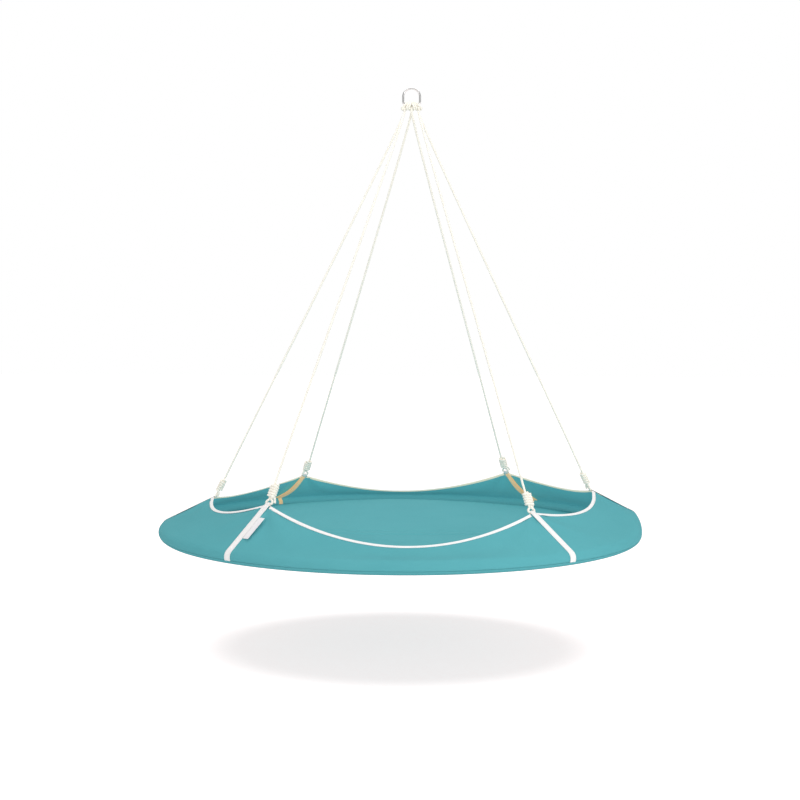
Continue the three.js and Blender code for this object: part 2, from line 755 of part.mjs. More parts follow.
// Label: a small bare flag beside one tape, lying flat on the wall
function labelGeometry(strap) {
  const { up, out, place } = strapPeak(strap);
  const centre = place(-LABEL.below - LABEL.length / 2, GAP + LABEL.thickness / 2);
  const geometry = new THREE.BoxGeometry(LABEL.width, LABEL.length, LABEL.thickness);
  const lift = (v) => at(strap.azimuth, v.x, 0, v.y);
  const along = at(strap.azimuth, 0, 1, 0);
  geometry.applyMatrix4(new THREE.Matrix4().makeBasis(along, lift(up), lift(out)));
  const shift = at(strap.azimuth, centre.x, (TAPE_WIDTH + LABEL.width) / 2 + GAP, centre.y);
  return geometry.translate(shift.x, shift.y, shift.z);
}

add('d_ring', ringGeometry(), COLOURS.metal);

for (const rope of ROPES) add(rope.name, ropeAlong(ropePoints(rope)), COLOURS.rope);

for (const strap of STRAPS) {
  const rope = ROPES.find(({ front, back }) => front === strap.name || back === strap.name);
  const put = eyeFrame(strap, hitchFoot(rope, strap));
  const knot = knotRoute().map(([t, w, n]) => put(t, w, n));
  add(`knot_${strap.name}`, woundTube(knot), COLOURS.rope);
  add(`sling_${strap.name}`, slingGeometry(strap), COLOURS.sling);
  add(`tape_${strap.name}`, tapeGeometry(strap), COLOURS.tape);
}
console.log(`knot: least gap of the rope to itself ${leastGap(
  knotRoute().map(([t, w, n]) => new THREE.Vector3(t, w, n))).toFixed(2)} mm`);

STRAPS.forEach((strap, i) => {
  const to = STRAPS[(i + 1) % STRAPS.length];
  const start = strap.azimuth;
  const end = to.azimuth > start ? to.azimuth : to.azimuth + 360;
  const { name, out, dip } = PANELS[i];
  const columns = panelColumns({ from: strap, to, start, end, out, dip });
  add(`wall_${name}`, wallGeometry(columns), COLOURS.cloth);
  add(`binding_${name}`, bindingGeometry(columns), COLOURS.tape);
});

STRAPS.forEach((strap, i) => {
  const joint = TUBE_START + TUBE_SPAN * i;
  add(`hoop_tube_${strap.name}`, tubeGeometry(joint), COLOURS.tube);
  const spigot = extrudeAcross(octagon(spigotOuter), octagon(spigotInner), joint, SPIGOT_LENGTH);
  add(`hoop_spigot_${i + 1}`, spigot, COLOURS.tube);
});

add('base_cover', baseGeometry(), COLOURS.cloth);
add('mattress', mattressGeometry(), COLOURS.lining);
add('label', labelGeometry(STRAPS[4]), COLOURS.tape);

export default part;
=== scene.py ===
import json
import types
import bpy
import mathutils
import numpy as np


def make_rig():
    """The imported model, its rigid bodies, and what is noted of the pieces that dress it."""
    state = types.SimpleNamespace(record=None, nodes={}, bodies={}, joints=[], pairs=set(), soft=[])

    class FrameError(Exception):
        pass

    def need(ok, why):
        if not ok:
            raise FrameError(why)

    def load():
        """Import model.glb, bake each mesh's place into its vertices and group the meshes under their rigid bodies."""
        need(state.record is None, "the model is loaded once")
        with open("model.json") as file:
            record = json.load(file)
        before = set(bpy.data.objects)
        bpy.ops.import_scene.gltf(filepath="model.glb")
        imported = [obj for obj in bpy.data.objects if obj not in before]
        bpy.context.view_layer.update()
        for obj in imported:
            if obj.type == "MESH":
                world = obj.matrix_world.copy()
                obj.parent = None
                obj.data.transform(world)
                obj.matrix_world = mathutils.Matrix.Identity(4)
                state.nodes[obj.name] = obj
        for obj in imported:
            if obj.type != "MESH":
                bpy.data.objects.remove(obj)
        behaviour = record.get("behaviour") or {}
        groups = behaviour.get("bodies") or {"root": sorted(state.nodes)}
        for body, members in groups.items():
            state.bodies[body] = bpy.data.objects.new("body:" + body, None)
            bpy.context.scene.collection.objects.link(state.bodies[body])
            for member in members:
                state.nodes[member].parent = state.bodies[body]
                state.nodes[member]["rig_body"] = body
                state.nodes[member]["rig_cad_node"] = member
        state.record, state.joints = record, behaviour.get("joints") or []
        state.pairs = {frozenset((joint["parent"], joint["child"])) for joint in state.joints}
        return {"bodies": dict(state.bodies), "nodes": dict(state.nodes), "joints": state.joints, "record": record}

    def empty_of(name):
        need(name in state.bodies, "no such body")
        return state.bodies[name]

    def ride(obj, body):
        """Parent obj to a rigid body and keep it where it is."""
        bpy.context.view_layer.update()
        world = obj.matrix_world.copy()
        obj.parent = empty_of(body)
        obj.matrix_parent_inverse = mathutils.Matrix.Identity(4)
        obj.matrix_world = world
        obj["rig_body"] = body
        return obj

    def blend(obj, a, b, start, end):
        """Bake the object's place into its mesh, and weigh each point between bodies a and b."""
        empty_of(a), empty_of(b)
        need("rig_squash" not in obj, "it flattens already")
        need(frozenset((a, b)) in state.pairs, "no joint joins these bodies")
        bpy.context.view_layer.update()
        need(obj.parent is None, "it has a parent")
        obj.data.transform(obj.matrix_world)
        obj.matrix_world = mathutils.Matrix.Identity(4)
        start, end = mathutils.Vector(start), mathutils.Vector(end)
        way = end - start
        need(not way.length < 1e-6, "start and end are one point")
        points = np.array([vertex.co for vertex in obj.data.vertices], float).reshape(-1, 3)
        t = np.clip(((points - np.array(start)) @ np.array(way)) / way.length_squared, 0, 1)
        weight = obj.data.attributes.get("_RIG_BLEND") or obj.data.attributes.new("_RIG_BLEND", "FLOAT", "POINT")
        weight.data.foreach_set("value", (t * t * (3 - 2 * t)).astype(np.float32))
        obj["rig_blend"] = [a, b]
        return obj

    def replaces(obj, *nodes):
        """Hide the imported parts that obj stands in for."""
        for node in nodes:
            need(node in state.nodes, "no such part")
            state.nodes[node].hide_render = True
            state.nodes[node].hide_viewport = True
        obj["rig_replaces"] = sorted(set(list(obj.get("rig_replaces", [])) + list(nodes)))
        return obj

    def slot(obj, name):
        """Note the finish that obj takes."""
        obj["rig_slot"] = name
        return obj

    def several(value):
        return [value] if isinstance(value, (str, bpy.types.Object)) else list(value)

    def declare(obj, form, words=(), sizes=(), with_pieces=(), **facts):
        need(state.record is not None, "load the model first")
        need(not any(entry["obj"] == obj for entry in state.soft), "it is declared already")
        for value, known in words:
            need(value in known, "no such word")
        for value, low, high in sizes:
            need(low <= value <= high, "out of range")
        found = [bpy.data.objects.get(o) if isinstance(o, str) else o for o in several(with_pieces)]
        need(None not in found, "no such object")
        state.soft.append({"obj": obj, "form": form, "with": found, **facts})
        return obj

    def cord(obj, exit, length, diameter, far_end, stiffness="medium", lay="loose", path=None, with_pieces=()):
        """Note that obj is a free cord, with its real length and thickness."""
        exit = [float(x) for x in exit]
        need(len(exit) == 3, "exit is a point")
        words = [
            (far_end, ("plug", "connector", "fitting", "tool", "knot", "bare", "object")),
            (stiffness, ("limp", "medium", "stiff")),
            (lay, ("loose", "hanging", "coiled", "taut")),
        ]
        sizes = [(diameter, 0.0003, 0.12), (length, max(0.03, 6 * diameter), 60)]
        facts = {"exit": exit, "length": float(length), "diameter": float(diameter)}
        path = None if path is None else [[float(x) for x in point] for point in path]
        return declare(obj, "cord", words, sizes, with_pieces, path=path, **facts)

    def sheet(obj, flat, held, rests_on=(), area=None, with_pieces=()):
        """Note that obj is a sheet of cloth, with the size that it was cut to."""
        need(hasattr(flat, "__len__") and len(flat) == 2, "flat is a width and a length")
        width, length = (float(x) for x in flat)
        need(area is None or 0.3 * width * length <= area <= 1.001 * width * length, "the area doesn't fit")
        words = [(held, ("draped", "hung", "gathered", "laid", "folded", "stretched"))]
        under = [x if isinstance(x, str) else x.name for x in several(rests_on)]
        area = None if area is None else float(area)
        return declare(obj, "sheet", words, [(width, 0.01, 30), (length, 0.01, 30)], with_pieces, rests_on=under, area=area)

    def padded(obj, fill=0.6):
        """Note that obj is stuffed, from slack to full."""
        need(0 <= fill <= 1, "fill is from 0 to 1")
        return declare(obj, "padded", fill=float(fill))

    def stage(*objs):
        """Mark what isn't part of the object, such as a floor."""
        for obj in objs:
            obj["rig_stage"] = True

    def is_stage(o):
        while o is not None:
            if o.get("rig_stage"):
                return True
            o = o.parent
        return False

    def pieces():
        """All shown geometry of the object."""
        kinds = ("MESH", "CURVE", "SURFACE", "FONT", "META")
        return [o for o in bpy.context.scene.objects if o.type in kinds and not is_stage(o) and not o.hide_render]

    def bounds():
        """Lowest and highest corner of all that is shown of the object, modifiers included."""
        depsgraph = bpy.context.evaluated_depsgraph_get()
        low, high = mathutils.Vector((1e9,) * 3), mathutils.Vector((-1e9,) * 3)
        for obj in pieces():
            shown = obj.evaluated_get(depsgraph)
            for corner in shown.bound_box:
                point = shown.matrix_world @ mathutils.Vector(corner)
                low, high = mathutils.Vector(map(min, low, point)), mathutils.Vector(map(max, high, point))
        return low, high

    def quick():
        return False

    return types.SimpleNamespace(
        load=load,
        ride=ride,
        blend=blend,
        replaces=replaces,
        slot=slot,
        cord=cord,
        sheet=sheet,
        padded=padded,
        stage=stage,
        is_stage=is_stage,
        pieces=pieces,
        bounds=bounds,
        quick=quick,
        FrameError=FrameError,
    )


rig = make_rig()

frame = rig.load()
cad_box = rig.bounds()

import json
from math import acos, asin, atan2, ceil, cos, exp, hypot, pi, radians, sin, sqrt

import bmesh
import bpy
from mathutils import Matrix, Vector, noise

# Camera: the photograph's viewpoint, 4.6 m in front of the bed's middle and 0.69 m above its underside. It is
# tipped down by two degrees and rolled by a quarter of one.
BED_PLACE = Vector((-0.036, 0, -1.694))
CAMERA_DISTANCE = 4.575
CAMERA_HEIGHT = 0.6896
CAMERA_TIP = 0.03882
CAMERA_ROLL = 0.00438
FOCAL_PIXELS = 1192
PICTURE_PIXELS = 800
SIDE_SHIFT_PIXELS = 0.8


def scene_object(name, data):
    """A new object of the scene, at the origin."""
    made = bpy.data.objects.new(name, data)
    bpy.context.scene.collection.objects.link(made)
    return made


camera = scene_object("camera", bpy.data.cameras.new("camera"))
bpy.context.scene.camera = camera
camera.data.sensor_width = 36
camera.data.lens = FOCAL_PIXELS / PICTURE_PIXELS * camera.data.sensor_width
camera.data.shift_x = -SIDE_SHIFT_PIXELS / PICTURE_PIXELS
camera.data.clip_end = 60
facing = Vector((0, cos(CAMERA_TIP), -sin(CAMERA_TIP)))
level = Vector((1, 0, 0))
upright = Vector((0, sin(CAMERA_TIP), cos(CAMERA_TIP)))
right = level * cos(CAMERA_ROLL) + upright * sin(CAMERA_ROLL)
upright = upright * cos(CAMERA_ROLL) - level * sin(CAMERA_ROLL)
turn = Matrix((right, upright, -facing)).transposed().to_4x4()
camera.matrix_world = Matrix.Translation(BED_PLACE + Vector((0, -CAMERA_DISTANCE, CAMERA_HEIGHT))) @ turn


# Ropes: three lengths of white 8 mm braided polyester, each doubled over the ring's bar in a lark's head.
# Their six legs run taut to the loops on the wall, through them, and back up beside themselves to the knots.
BED_RADIUS = 0.914
SKIN_RADIUS = 0.02522
HOOP = Vector((BED_RADIUS - SKIN_RADIUS, SKIN_RADIUS))
SHOULDER_REACH = 30
SHOULDER_IN = 0.004
SHOULDER_RISE = 0.040

ROPE_RADIUS = 0.004
WIRE_RADIUS = 0.004
BAR_HEIGHT = 1.638
RING_OFFSET = 0.036
EYE_RISE = 0.007
EYE_DEPTH = -0.002655
EYE_BEND = 0.006
EYE_ARC = range(50, -91, -28)
EYE_SPREAD = ((0, 0.004), (0, 0), (0.0007, -0.0043), (0.0022, -0.0064))
LOOP_HALF = 0.0075
LEG_SIDE = 0.0043
KNOT_START = 0.021
STRAIGHT_LENGTH = 0.165
RETURN_POINTS = 7
SPLIT_HEIGHT = 0.010

HITCH_SPACING = 0.027
STRAND_SPACING = 0.0085
HITCH_FOOT = 0.030
HITCH_NECK = 0.024
HITCH_FRONT_LEG = ((0, -0.004, -0.016), (0.3, -0.0015, -0.0118), (0.75, 0.0035, -0.0094),
                   (1, 0.0077, -0.005))
HITCH_BACK_LEG = ((0, 0.0047, -0.016), (0.35, 0.0064, -0.0105), (0.85, 0.0084, -0.005))
HITCH_OVER = range(0, 181, 45)
HITCH_GAP = 0.001
HITCH_DESCENT = (0.45, -0.0092, -0.0065)
HITCH_BIGHT = ((0.009, -0.008, -0.013), (0.0092, -0.002, -0.017), (0.0092, 0.005, -0.018),
               (0.007, 0.011, -0.018))
HITCH_MIDDLE = (0.0133, -0.018)

LONG_RUN = 0.08
RETURN_STEP = 0.0015
ROPE_STEP = 0.0022
RETURN_SKIN = 0.00006

STRAPS = {
    "right": dict(azimuth=0, out=0.738, peak=0.169, hand=1),
    "back_right": dict(azimuth=52, out=0.749, peak=0.177, hand=-1),
    "back_left": dict(azimuth=124, out=0.756, peak=0.157, hand=1),
    "left": dict(azimuth=180, out=0.718, peak=0.137, hand=1),
    "front_left": dict(azimuth=232, out=0.728, peak=0.179, hand=1),
    "front_right": dict(azimuth=308, out=0.728, peak=0.155, hand=1),
}
ROPES = {
    "left": dict(place=-1, front="front_left", back="left"),
    "rear": dict(place=0, front="back_right", back="back_left"),
    "right": dict(place=1, front="front_right", back="right"),
}


def on_bed(azimuth, out, along, height):
    """A place by azimuth in degrees, distance out from the middle, distance along the rim and height."""
    a = radians(azimuth)
    return BED_PLACE + Vector((out * cos(a) - along * sin(a), out * sin(a) + along * cos(a), height))


def shoulder_lift(azimuth):
    """How far the cloth stands off the hoop beside the right strap, from 0 to 1."""
    away = abs((azimuth + 180) % 360 - 180) / SHOULDER_REACH
    return cos(away * pi / 2) ** 2 if away < 1 else 0


def tangent_angle(radius, point):
    """Where on the hoop's section a straight line from the point touches a circle of that radius."""
    away = point - HOOP
    return atan2(away.y, away.x) - acos(radius / away.length)


def rim(radius, angle):
    """A place round the hoop's section, as a pair: distance out from the bed's middle, and height."""
    return HOOP + Vector((cos(angle), sin(angle))) * radius


def strap_peak(strap):
    """The peak of a strap with the directions up along the wall and out from it, as (out, height) pairs."""
    peak = Vector((strap["out"], strap["peak"]))
    lift = shoulder_lift(strap["azimuth"])
    bend = rim(SKIN_RADIUS, tangent_angle(SKIN_RADIUS, peak)) + Vector((-SHOULDER_IN, SHOULDER_RISE)) * lift
    up = (peak - bend).normalized()
    return peak, up, Vector((up.y, -up.x))


def eye_frame(strap, target):
    """Axes at a strap's eye: along the eye, up the standing part of the rope, and square to both."""
    peak, up, out = strap_peak(strap)
    eye = peak + up * EYE_RISE + out * EYE_DEPTH
    azimuth = radians(strap["azimuth"])
    origin = on_bed(strap["azimuth"], eye.x, 0, eye.y)
    rise = (target - origin).normalized()
    along = Vector((-sin(azimuth), cos(azimuth), 0)) * strap["hand"]
    along = (along - rise * along.dot(rise)).normalized()
    square = rise.cross(along)
    return lambda t, w, n=0: origin + along * t + rise * w + square * n


def hitch_foot(rope, name):
    """Where a leg meets the other leg of its rope, under the bar."""
    side = LEG_SIDE if rope["back"] == name else -LEG_SIDE
    middle = RING_OFFSET + rope["place"] * HITCH_SPACING
    return BED_PLACE + Vector((middle, side, BAR_HEIGHT - HITCH_FOOT))


def leg_points(rope, name):
    """One leg, from beside the knot down through the eye and up to the hitch."""
    target = hitch_foot(rope, name)
    put = eye_frame(STRAPS[name], target)
    half = [(LEG_SIDE + aside, KNOT_START + above) for aside, above in EYE_SPREAD]
    for degrees in EYE_ARC:
        a = radians(degrees)
        half.append((LOOP_HALF + EYE_BEND * cos(a), EYE_BEND + EYE_BEND * sin(a)))
    other = [(-t, w) for t, w in reversed(half)]
    points = [put(t, w) for t, w in half + other]
    return points + [put(-LEG_SIDE, STRAIGHT_LENGTH), target]


def hitch_points(rope, front):
    """One side of the lark's head: the leg goes behind the bar and over it, and its bight hangs in front."""
    side = -1 if front else 1
    below = rope["place"] * HITCH_SPACING
    strand = rope["place"] * 2 * STRAND_SPACING + side * STRAND_SPACING / 2
    wrap = ROPE_RADIUS + WIRE_RADIUS + HITCH_GAP
    leg = [(0, side * LEG_SIDE, -HITCH_NECK), *(HITCH_FRONT_LEG if front else HITCH_BACK_LEG)]
    points = [(below + (strand - below) * share, y, z) for share, y, z in leg]
    for degrees in HITCH_OVER:
        a = radians(degrees)
        points.append((strand, wrap * cos(a), wrap * sin(a)))
    share, y, z = HITCH_DESCENT
    points.append((strand + (below + side * HITCH_BIGHT[0][0] - strand) * share, y, z))
    points += [(below + side * x, y, z) for x, y, z in HITCH_BIGHT]
    return [BED_PLACE + Vector((RING_OFFSET + x, y, BAR_HEIGHT + z)) for x, y, z in points]


def smooth_path(points, step, long_step=0.03):
    """A smooth line through the points, with a station every step, or every long_step on a long run."""
    ends = [points[0] * 2 - points[1], *points, points[-1] * 2 - points[-2]]
    path = []
    for a, b, c, d in zip(ends, ends[1:], ends[2:], ends[3:]):
        marks = [0]
        for p, q in ((a, b), (b, c), (c, d)):
            marks.append(marks[-1] + max(sqrt((q - p).length), 1e-6))
        span = (c - b).length
        count = max(1, ceil(span / (step if span < LONG_RUN else long_step)))
        for k in range(count):
            t = marks[1] + (marks[2] - marks[1]) * k / count
            row = [a, b, c, d]
            for depth in (1, 2, 3):
                for i in range(4 - depth):
                    low, high = (marks[1], marks[2]) if depth == 3 else (marks[i], marks[i + depth])
                    row[i] = row[i] * ((high - t) / (high - low)) + row[i + 1] * ((t - low) / (high - low))
            path.append(row[0])
    path.append(points[-1].copy())
    return path


def distances(path):
    """The distance along a path at each of its points."""
    found = [0.0]
    for p, q in zip(path, path[1:]):
        found.append(found[-1] + (q - p).length)
    return found


def new_piece(name, bm, material=None, smooth=True):
    mesh = bpy.data.meshes.new(name)
    bm.to_mesh(mesh)
    bm.free()
    piece = scene_object(name, mesh)
    if smooth:
        mesh.shade_smooth()
    if material:
        mesh.materials.append(material)
    return piece


def laid_grid(along, across, place):
    """A grid of quads. Its columns and rows lie at the flat distances given, which are also its UVs, and
    place(i, j) gives the corner of column i and row j."""
    bm = bmesh.new()
    layer = bm.loops.layers.uv.new("UVMap")
    columns, rows = len(along) - 1, len(across) - 1
    bmesh.ops.create_grid(bm, x_segments=columns, y_segments=rows, size=1)
    spots = [(round((v.co.x + 1) / 2 * columns), round((v.co.y + 1) / 2 * rows)) for v in bm.verts]
    for face in bm.faces:
        for loop in face.loops:
            i, j = spots[loop.vert.index]
            loop[layer].uv = (along[i], across[j])
    for vert, (i, j) in zip(bm.verts, spots):
        vert.co = place(i, j)
    bmesh.ops.recalc_face_normals(bm, faces=bm.faces)
    return bm


def carried_frames(path):
    """A tangent and two square directions at each point of a path, carried along it without twisting."""
    frames = []
    across = None
    for i, point in enumerate(path):
        before, after = path[max(i - 1, 0)], path[min(i + 1, len(path) - 1)]
        tangent = (after - before).normalized()
        if across is None:
            across = Vector((0, 0, 1)).cross(tangent)
            if across.length < 1e-3:
                across = Vector((1, 0, 0)).cross(tangent)
        across = (across - tangent * across.dot(tangent)).normalized()
        frames.append((point, across, tangent.cross(across)))
    return frames


def rope_tube(name, path, radius, sides=14):
    """A rope along a path, closed at both ends, with its length and girth as UVs."""
    frames = carried_frames(path)
    rounds = [j / sides * 2 * pi for j in range(sides + 1)]

    def place(i, j):
        point, across, square = frames[i]
        return point + across * (radius * cos(rounds[j])) + square * (radius * sin(rounds[j]))

    bm = laid_grid(distances(path), [a * radius for a in rounds], place)
    bmesh.ops.remove_doubles(bm, verts=bm.verts, dist=1e-6)
    bmesh.ops.holes_fill(bm, edges=[e for e in bm.edges if e.is_boundary], sides=0)
    bmesh.ops.recalc_face_normals(bm, faces=bm.faces)
    return new_piece(name, bm, rope_finish)


# A wave texture of scale 1 repeats at this distance.
WAVE_REPEAT = 0.31416


class Finish:
    """A procedural material: its nodes, its links, and its shader's own values."""

    def __init__(self, name, colour, roughness, **values):
        self.material = bpy.data.materials.new(name)
        self.material.use_nodes = True
        self.tree = self.material.node_tree
        self.shader = self.tree.nodes["Principled BSDF"]
        self.shader.inputs["Base Color"].default_value = (*colour, 1)
        self.shader.inputs["Roughness"].default_value = roughness
        for socket, value in values.items():
            self.shader.inputs[socket.replace("_", " ")].default_value = value

    def add(self, kind, output=0, settings=(), **inputs):
        node = self.tree.nodes.new("ShaderNode" + kind)
        for key, value in dict(settings).items():
            setattr(node, key, value)
        for key, value in inputs.items():
            socket = node.inputs[int(key[1:])] if key[0] == "i" and key[1:].isdigit() else node.inputs[key]
            if isinstance(value, bpy.types.NodeSocket):
                self.tree.links.new(value, socket)
            else:
                socket.default_value = value
        return node.outputs[output]

    def math(self, operation, a, b=0.0, clamp=False):
        return self.add("Math", settings={"operation": operation, "use_clamp": clamp}, i0=a, i1=b)

    def uv(self, turned=0.0):
        found = self.add("UVMap")
        return self.add("Mapping", Vector=found, Rotation=(0, 0, turned)) if turned else found

    def place(self):
        return self.add("TexCoord", 3)

    def across(self):
        """The distance across a strip, from its UVs."""
        return self.add("SeparateXYZ", 1, Vector=self.uv())

    def ridges(self, spacing, turned=0.0, direction="X"):
        """Soft parallel ridges on the UVs, from 0 to 1, at a spacing in metres."""
        settings = {"wave_type": "BANDS", "bands_direction": direction, "wave_profile": "SIN"}
        return self.add("TexWave", 1, settings, Vector=self.uv(turned), Scale=WAVE_REPEAT / spacing,
                        Distortion=0)

    def cloud(self, size, detail=3):
        """Soft noise, from 0 to 1, with spots of about that size in metres."""
        return self.add("TexNoise", Vector=self.place(), Scale=1 / size, Detail=detail)

    def row(self, value, middle, half):
        """1 where the value is within half of the middle, and 0 elsewhere."""
        return self.math("LESS_THAN", self.math("ABSOLUTE", self.math("SUBTRACT", value, middle)), half)

    def mix(self, share, a, b):
        """A colour between two: share is a socket or a number."""
        node = self.tree.nodes.new("ShaderNodeMix")
        node.data_type = "RGBA"
        for index, value in ((0, share), (6, a), (7, b)):
            if isinstance(value, bpy.types.NodeSocket):
                self.tree.links.new(value, node.inputs[index])
            elif index:
                node.inputs[index].default_value = (*value, 1)
            else:
                node.inputs[index].default_value = value
        return node.outputs[2]

    def paint(self, colour):
        self.tree.links.new(colour, self.shader.inputs["Base Color"])

    def rough(self, value, low, high):
        """Roughness from low to high, as the value goes from 0.3 to 0.7."""
        spread = self.add("MapRange", Value=value, i1=0.3, i2=0.7, i3=low, i4=high)
        self.tree.links.new(spread, self.shader.inputs["Roughness"])

    # Emission on a part that is no lamp: painted light, which brightens its lit and shaded sides alike.
    def glow(self, colour, strength):
        self.shader.inputs["Emission Color"].default_value = (*colour, 1)
        self.shader.inputs["Emission Strength"].default_value = strength

    def emboss(self, height, depth):
        bump = self.add("Bump", Height=height, Distance=depth)
        self.tree.links.new(bump, self.shader.inputs["Normal"])


def linear(red, green, blue):
    """A colour given as it looks on a screen, from 0 to 255, made linear."""
    made = []
    for value in (red, green, blue):
        c = value / 255
        made.append(c / 12.92 if c <= 0.04045 else ((c + 0.055) / 1.055) ** 2.4)
    return tuple(made)


ROPE_WHITE = linear(248, 244, 234)
ROPE_SHADE = linear(238, 232, 219)
BRAID_PITCH = 0.0022
BRAID_SLANT = 32
BRAID_RELIEF = 0.0004
ROPE_GLOW = 0.12
rope_braid = Finish("rope braid", ROPE_WHITE, 0.78, Sheen_Weight=0.15, Sheen_Roughness=0.5)
braid_lines = [rope_braid.ridges(BRAID_PITCH, side * radians(BRAID_SLANT)) for side in (1, -1)]
strands = rope_braid.math("MAXIMUM", *braid_lines)
rope_braid.paint(rope_braid.mix(strands, ROPE_SHADE, ROPE_WHITE))
rope_braid.emboss(strands, BRAID_RELIEF)
# The rope glows a little: painted light that keeps its shaded side pale.
rope_braid.glow(ROPE_WHITE, ROPE_GLOW)
rope_finish = rope_braid.material

ropes = {}
returns = {}
for key, rope in ROPES.items():
    y, z = HITCH_MIDDLE
    middle = BED_PLACE + Vector((RING_OFFSET + rope["place"] * HITCH_SPACING, y, BAR_HEIGHT + z))
    front_leg, back_leg = leg_points(rope, rope["front"]), leg_points(rope, rope["back"])
    for name, leg in ((rope["front"], front_leg), (rope["back"], back_leg)):
        end = smooth_path(leg[:RETURN_POINTS], RETURN_STEP)
        put = eye_frame(STRAPS[name], hitch_foot(rope, name))
        returns[name] = rope_tube("rope_return_" + name, end, ROPE_RADIUS + RETURN_SKIN)
        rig.blend(returns[name], "bed", f"knot_{name}_body", put(LEG_SIDE, SPLIT_HEIGHT),
                 put(LEG_SIDE, KNOT_START))
        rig.slot(returns[name], "rope")
    route = [*front_leg[RETURN_POINTS - 2:], *hitch_points(rope, True), middle,
             *reversed(hitch_points(rope, False)), *reversed(back_leg[RETURN_POINTS - 2:])]
    path = smooth_path(route, ROPE_STEP)
    piece = rope_tube("braided_rope_" + key, path, ROPE_RADIUS)
    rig.ride(piece, "bed")
    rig.replaces(piece, "rope_" + key)
    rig.slot(piece, "rope")
    ropes[key] = (piece, path)


# Knots: at the foot of each leg the rope's end is wound five times down round both parts and drawn tight, so
# that the knot grips the leg and can be slid along it. A short cut end hangs out at the bottom.
KNOT_TOP = 0.0678
KNOT_HALF_TURNS = 10
KNOT_PITCH = 0.0088
KNOT_OFFSET = 0.0089
KNOT_INSIDE = (KNOT_START + 0.0003, (KNOT_START + KNOT_TOP) / 2, KNOT_TOP - 0.002)
KNOT_TURNOVER = ((0.25, 20, 0.0025), (0.6, 40, 0.004), (0.88, 65, 0.0025))
KNOT_END = ((0.001, -0.004, 0.004), (0.0025, -0.011, 0.007), (0.004, -0.019, 0.0085))
KNOT_STEP = 0.0018
KNOT_SKIN = 0.0001
ARC_STEPS = 8


def knot_route():
    """Distances along the eye, up the rope and square to both, as in the part's own knot."""
    straight = 2 * LEG_SIDE
    around = 2 * pi * KNOT_OFFSET + 2 * straight
    route = [(LEG_SIDE, w, 0) for w in KNOT_INSIDE]
    for share, degrees, rise in KNOT_TURNOVER:
        a = radians(degrees)
        reach = share * KNOT_OFFSET
        route.append((LEG_SIDE + reach * cos(a), KNOT_TOP + rise, reach * sin(a)))
    travelled = 0
    route.append((LEG_SIDE, KNOT_TOP, KNOT_OFFSET))
    for half in range(1, KNOT_HALF_TURNS + 1):
        end = -1 if half % 2 else 1
        travelled += straight
        route.append((end * LEG_SIDE, KNOT_TOP - travelled / around * KNOT_PITCH, -end * KNOT_OFFSET))
        steps = ceil(ARC_STEPS / 2) if half == KNOT_HALF_TURNS else ARC_STEPS
        for i in range(1, steps + 1):
            travelled += pi * KNOT_OFFSET / ARC_STEPS
            a = i / ARC_STEPS * pi
            route.append((end * (LEG_SIDE + KNOT_OFFSET * sin(a)), KNOT_TOP - travelled / around * KNOT_PITCH,
                          -end * KNOT_OFFSET * cos(a)))
    last = route[-1]
    return route + [tuple(a + b for a, b in zip(last, spot)) for spot in KNOT_END]


knots = {}
for key, rope in ROPES.items():
    for name in (rope["front"], rope["back"]):
        put = eye_frame(STRAPS[name], hitch_foot(rope, name))
        path = smooth_path([put(*spot) for spot in knot_route()], KNOT_STEP)
        knots[name] = rope_tube("wound_knot_" + name, path, ROPE_RADIUS + KNOT_SKIN)
        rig.ride(knots[name], f"knot_{name}_body")
        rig.replaces(knots[name], "knot_" + name)
        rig.slot(knots[name], "rope")
    piece, path = ropes[key]
    ends = [returns[rope["front"]], returns[rope["back"]], knots[rope["front"]], knots[rope["back"]]]
    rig.cord(piece, exit=tuple(path[0]), length=round(distances(path)[-1], 2), diameter=2 * ROPE_RADIUS,
            far_end="object", stiffness="limp", lay="taut", path=[tuple(p) for p in path], with_pieces=ends)


# D-ring: one length of 8 mm zinc-plated steel wire, bent to a straight bar, two short legs and a round arch,
# and welded at the middle of the bar. It hangs on a hook by its arch.
RING_WIDTH = 0.064
RING_LEG = 0.028
RING_CORNER = 0.008
RING_SIDES = 20
WELD_LENGTH = 0.006
WELD_SWELL = 0.07
BAR_STATIONS = (WELD_LENGTH / 2, WELD_LENGTH, 0.012, 0.018)
HAZE_SIZE = 0.004
GRAIN_SIZE = 0.0008
GRAIN_RELIEF = 0.00004

steel = Finish("zinc-plated steel", linear(205, 205, 203), 0.26, Metallic=1.0)
haze = steel.cloud(HAZE_SIZE, 4)
steel.rough(haze, 0.2, 0.4)
steel.paint(steel.mix(haze, linear(178, 179, 180), linear(222, 222, 220)))
steel.emboss(steel.cloud(GRAIN_SIZE, 2), GRAIN_RELIEF)


def ring_line():
    """The wire's centre line with the bar's middle first, as (x, z) from the middle of the bar."""
    half = RING_WIDTH / 2
    line = [(x, 0) for x in (0, *BAR_STATIONS)]
    for x, z, radius, start, stop, steps in ((half - RING_CORNER, RING_CORNER, RING_CORNER, -90, 0, 8),
                                             (0, RING_LEG, half, 0, 180, 48),
                                             (-half + RING_CORNER, RING_CORNER, RING_CORNER, 180, 270, 8)):
        for i in range(steps + 1):
            a = radians(start + (stop - start) * i / steps)
            line.append((x + radius * cos(a), z + radius * sin(a)))
    return line + [(-x, 0) for x in reversed(BAR_STATIONS)]


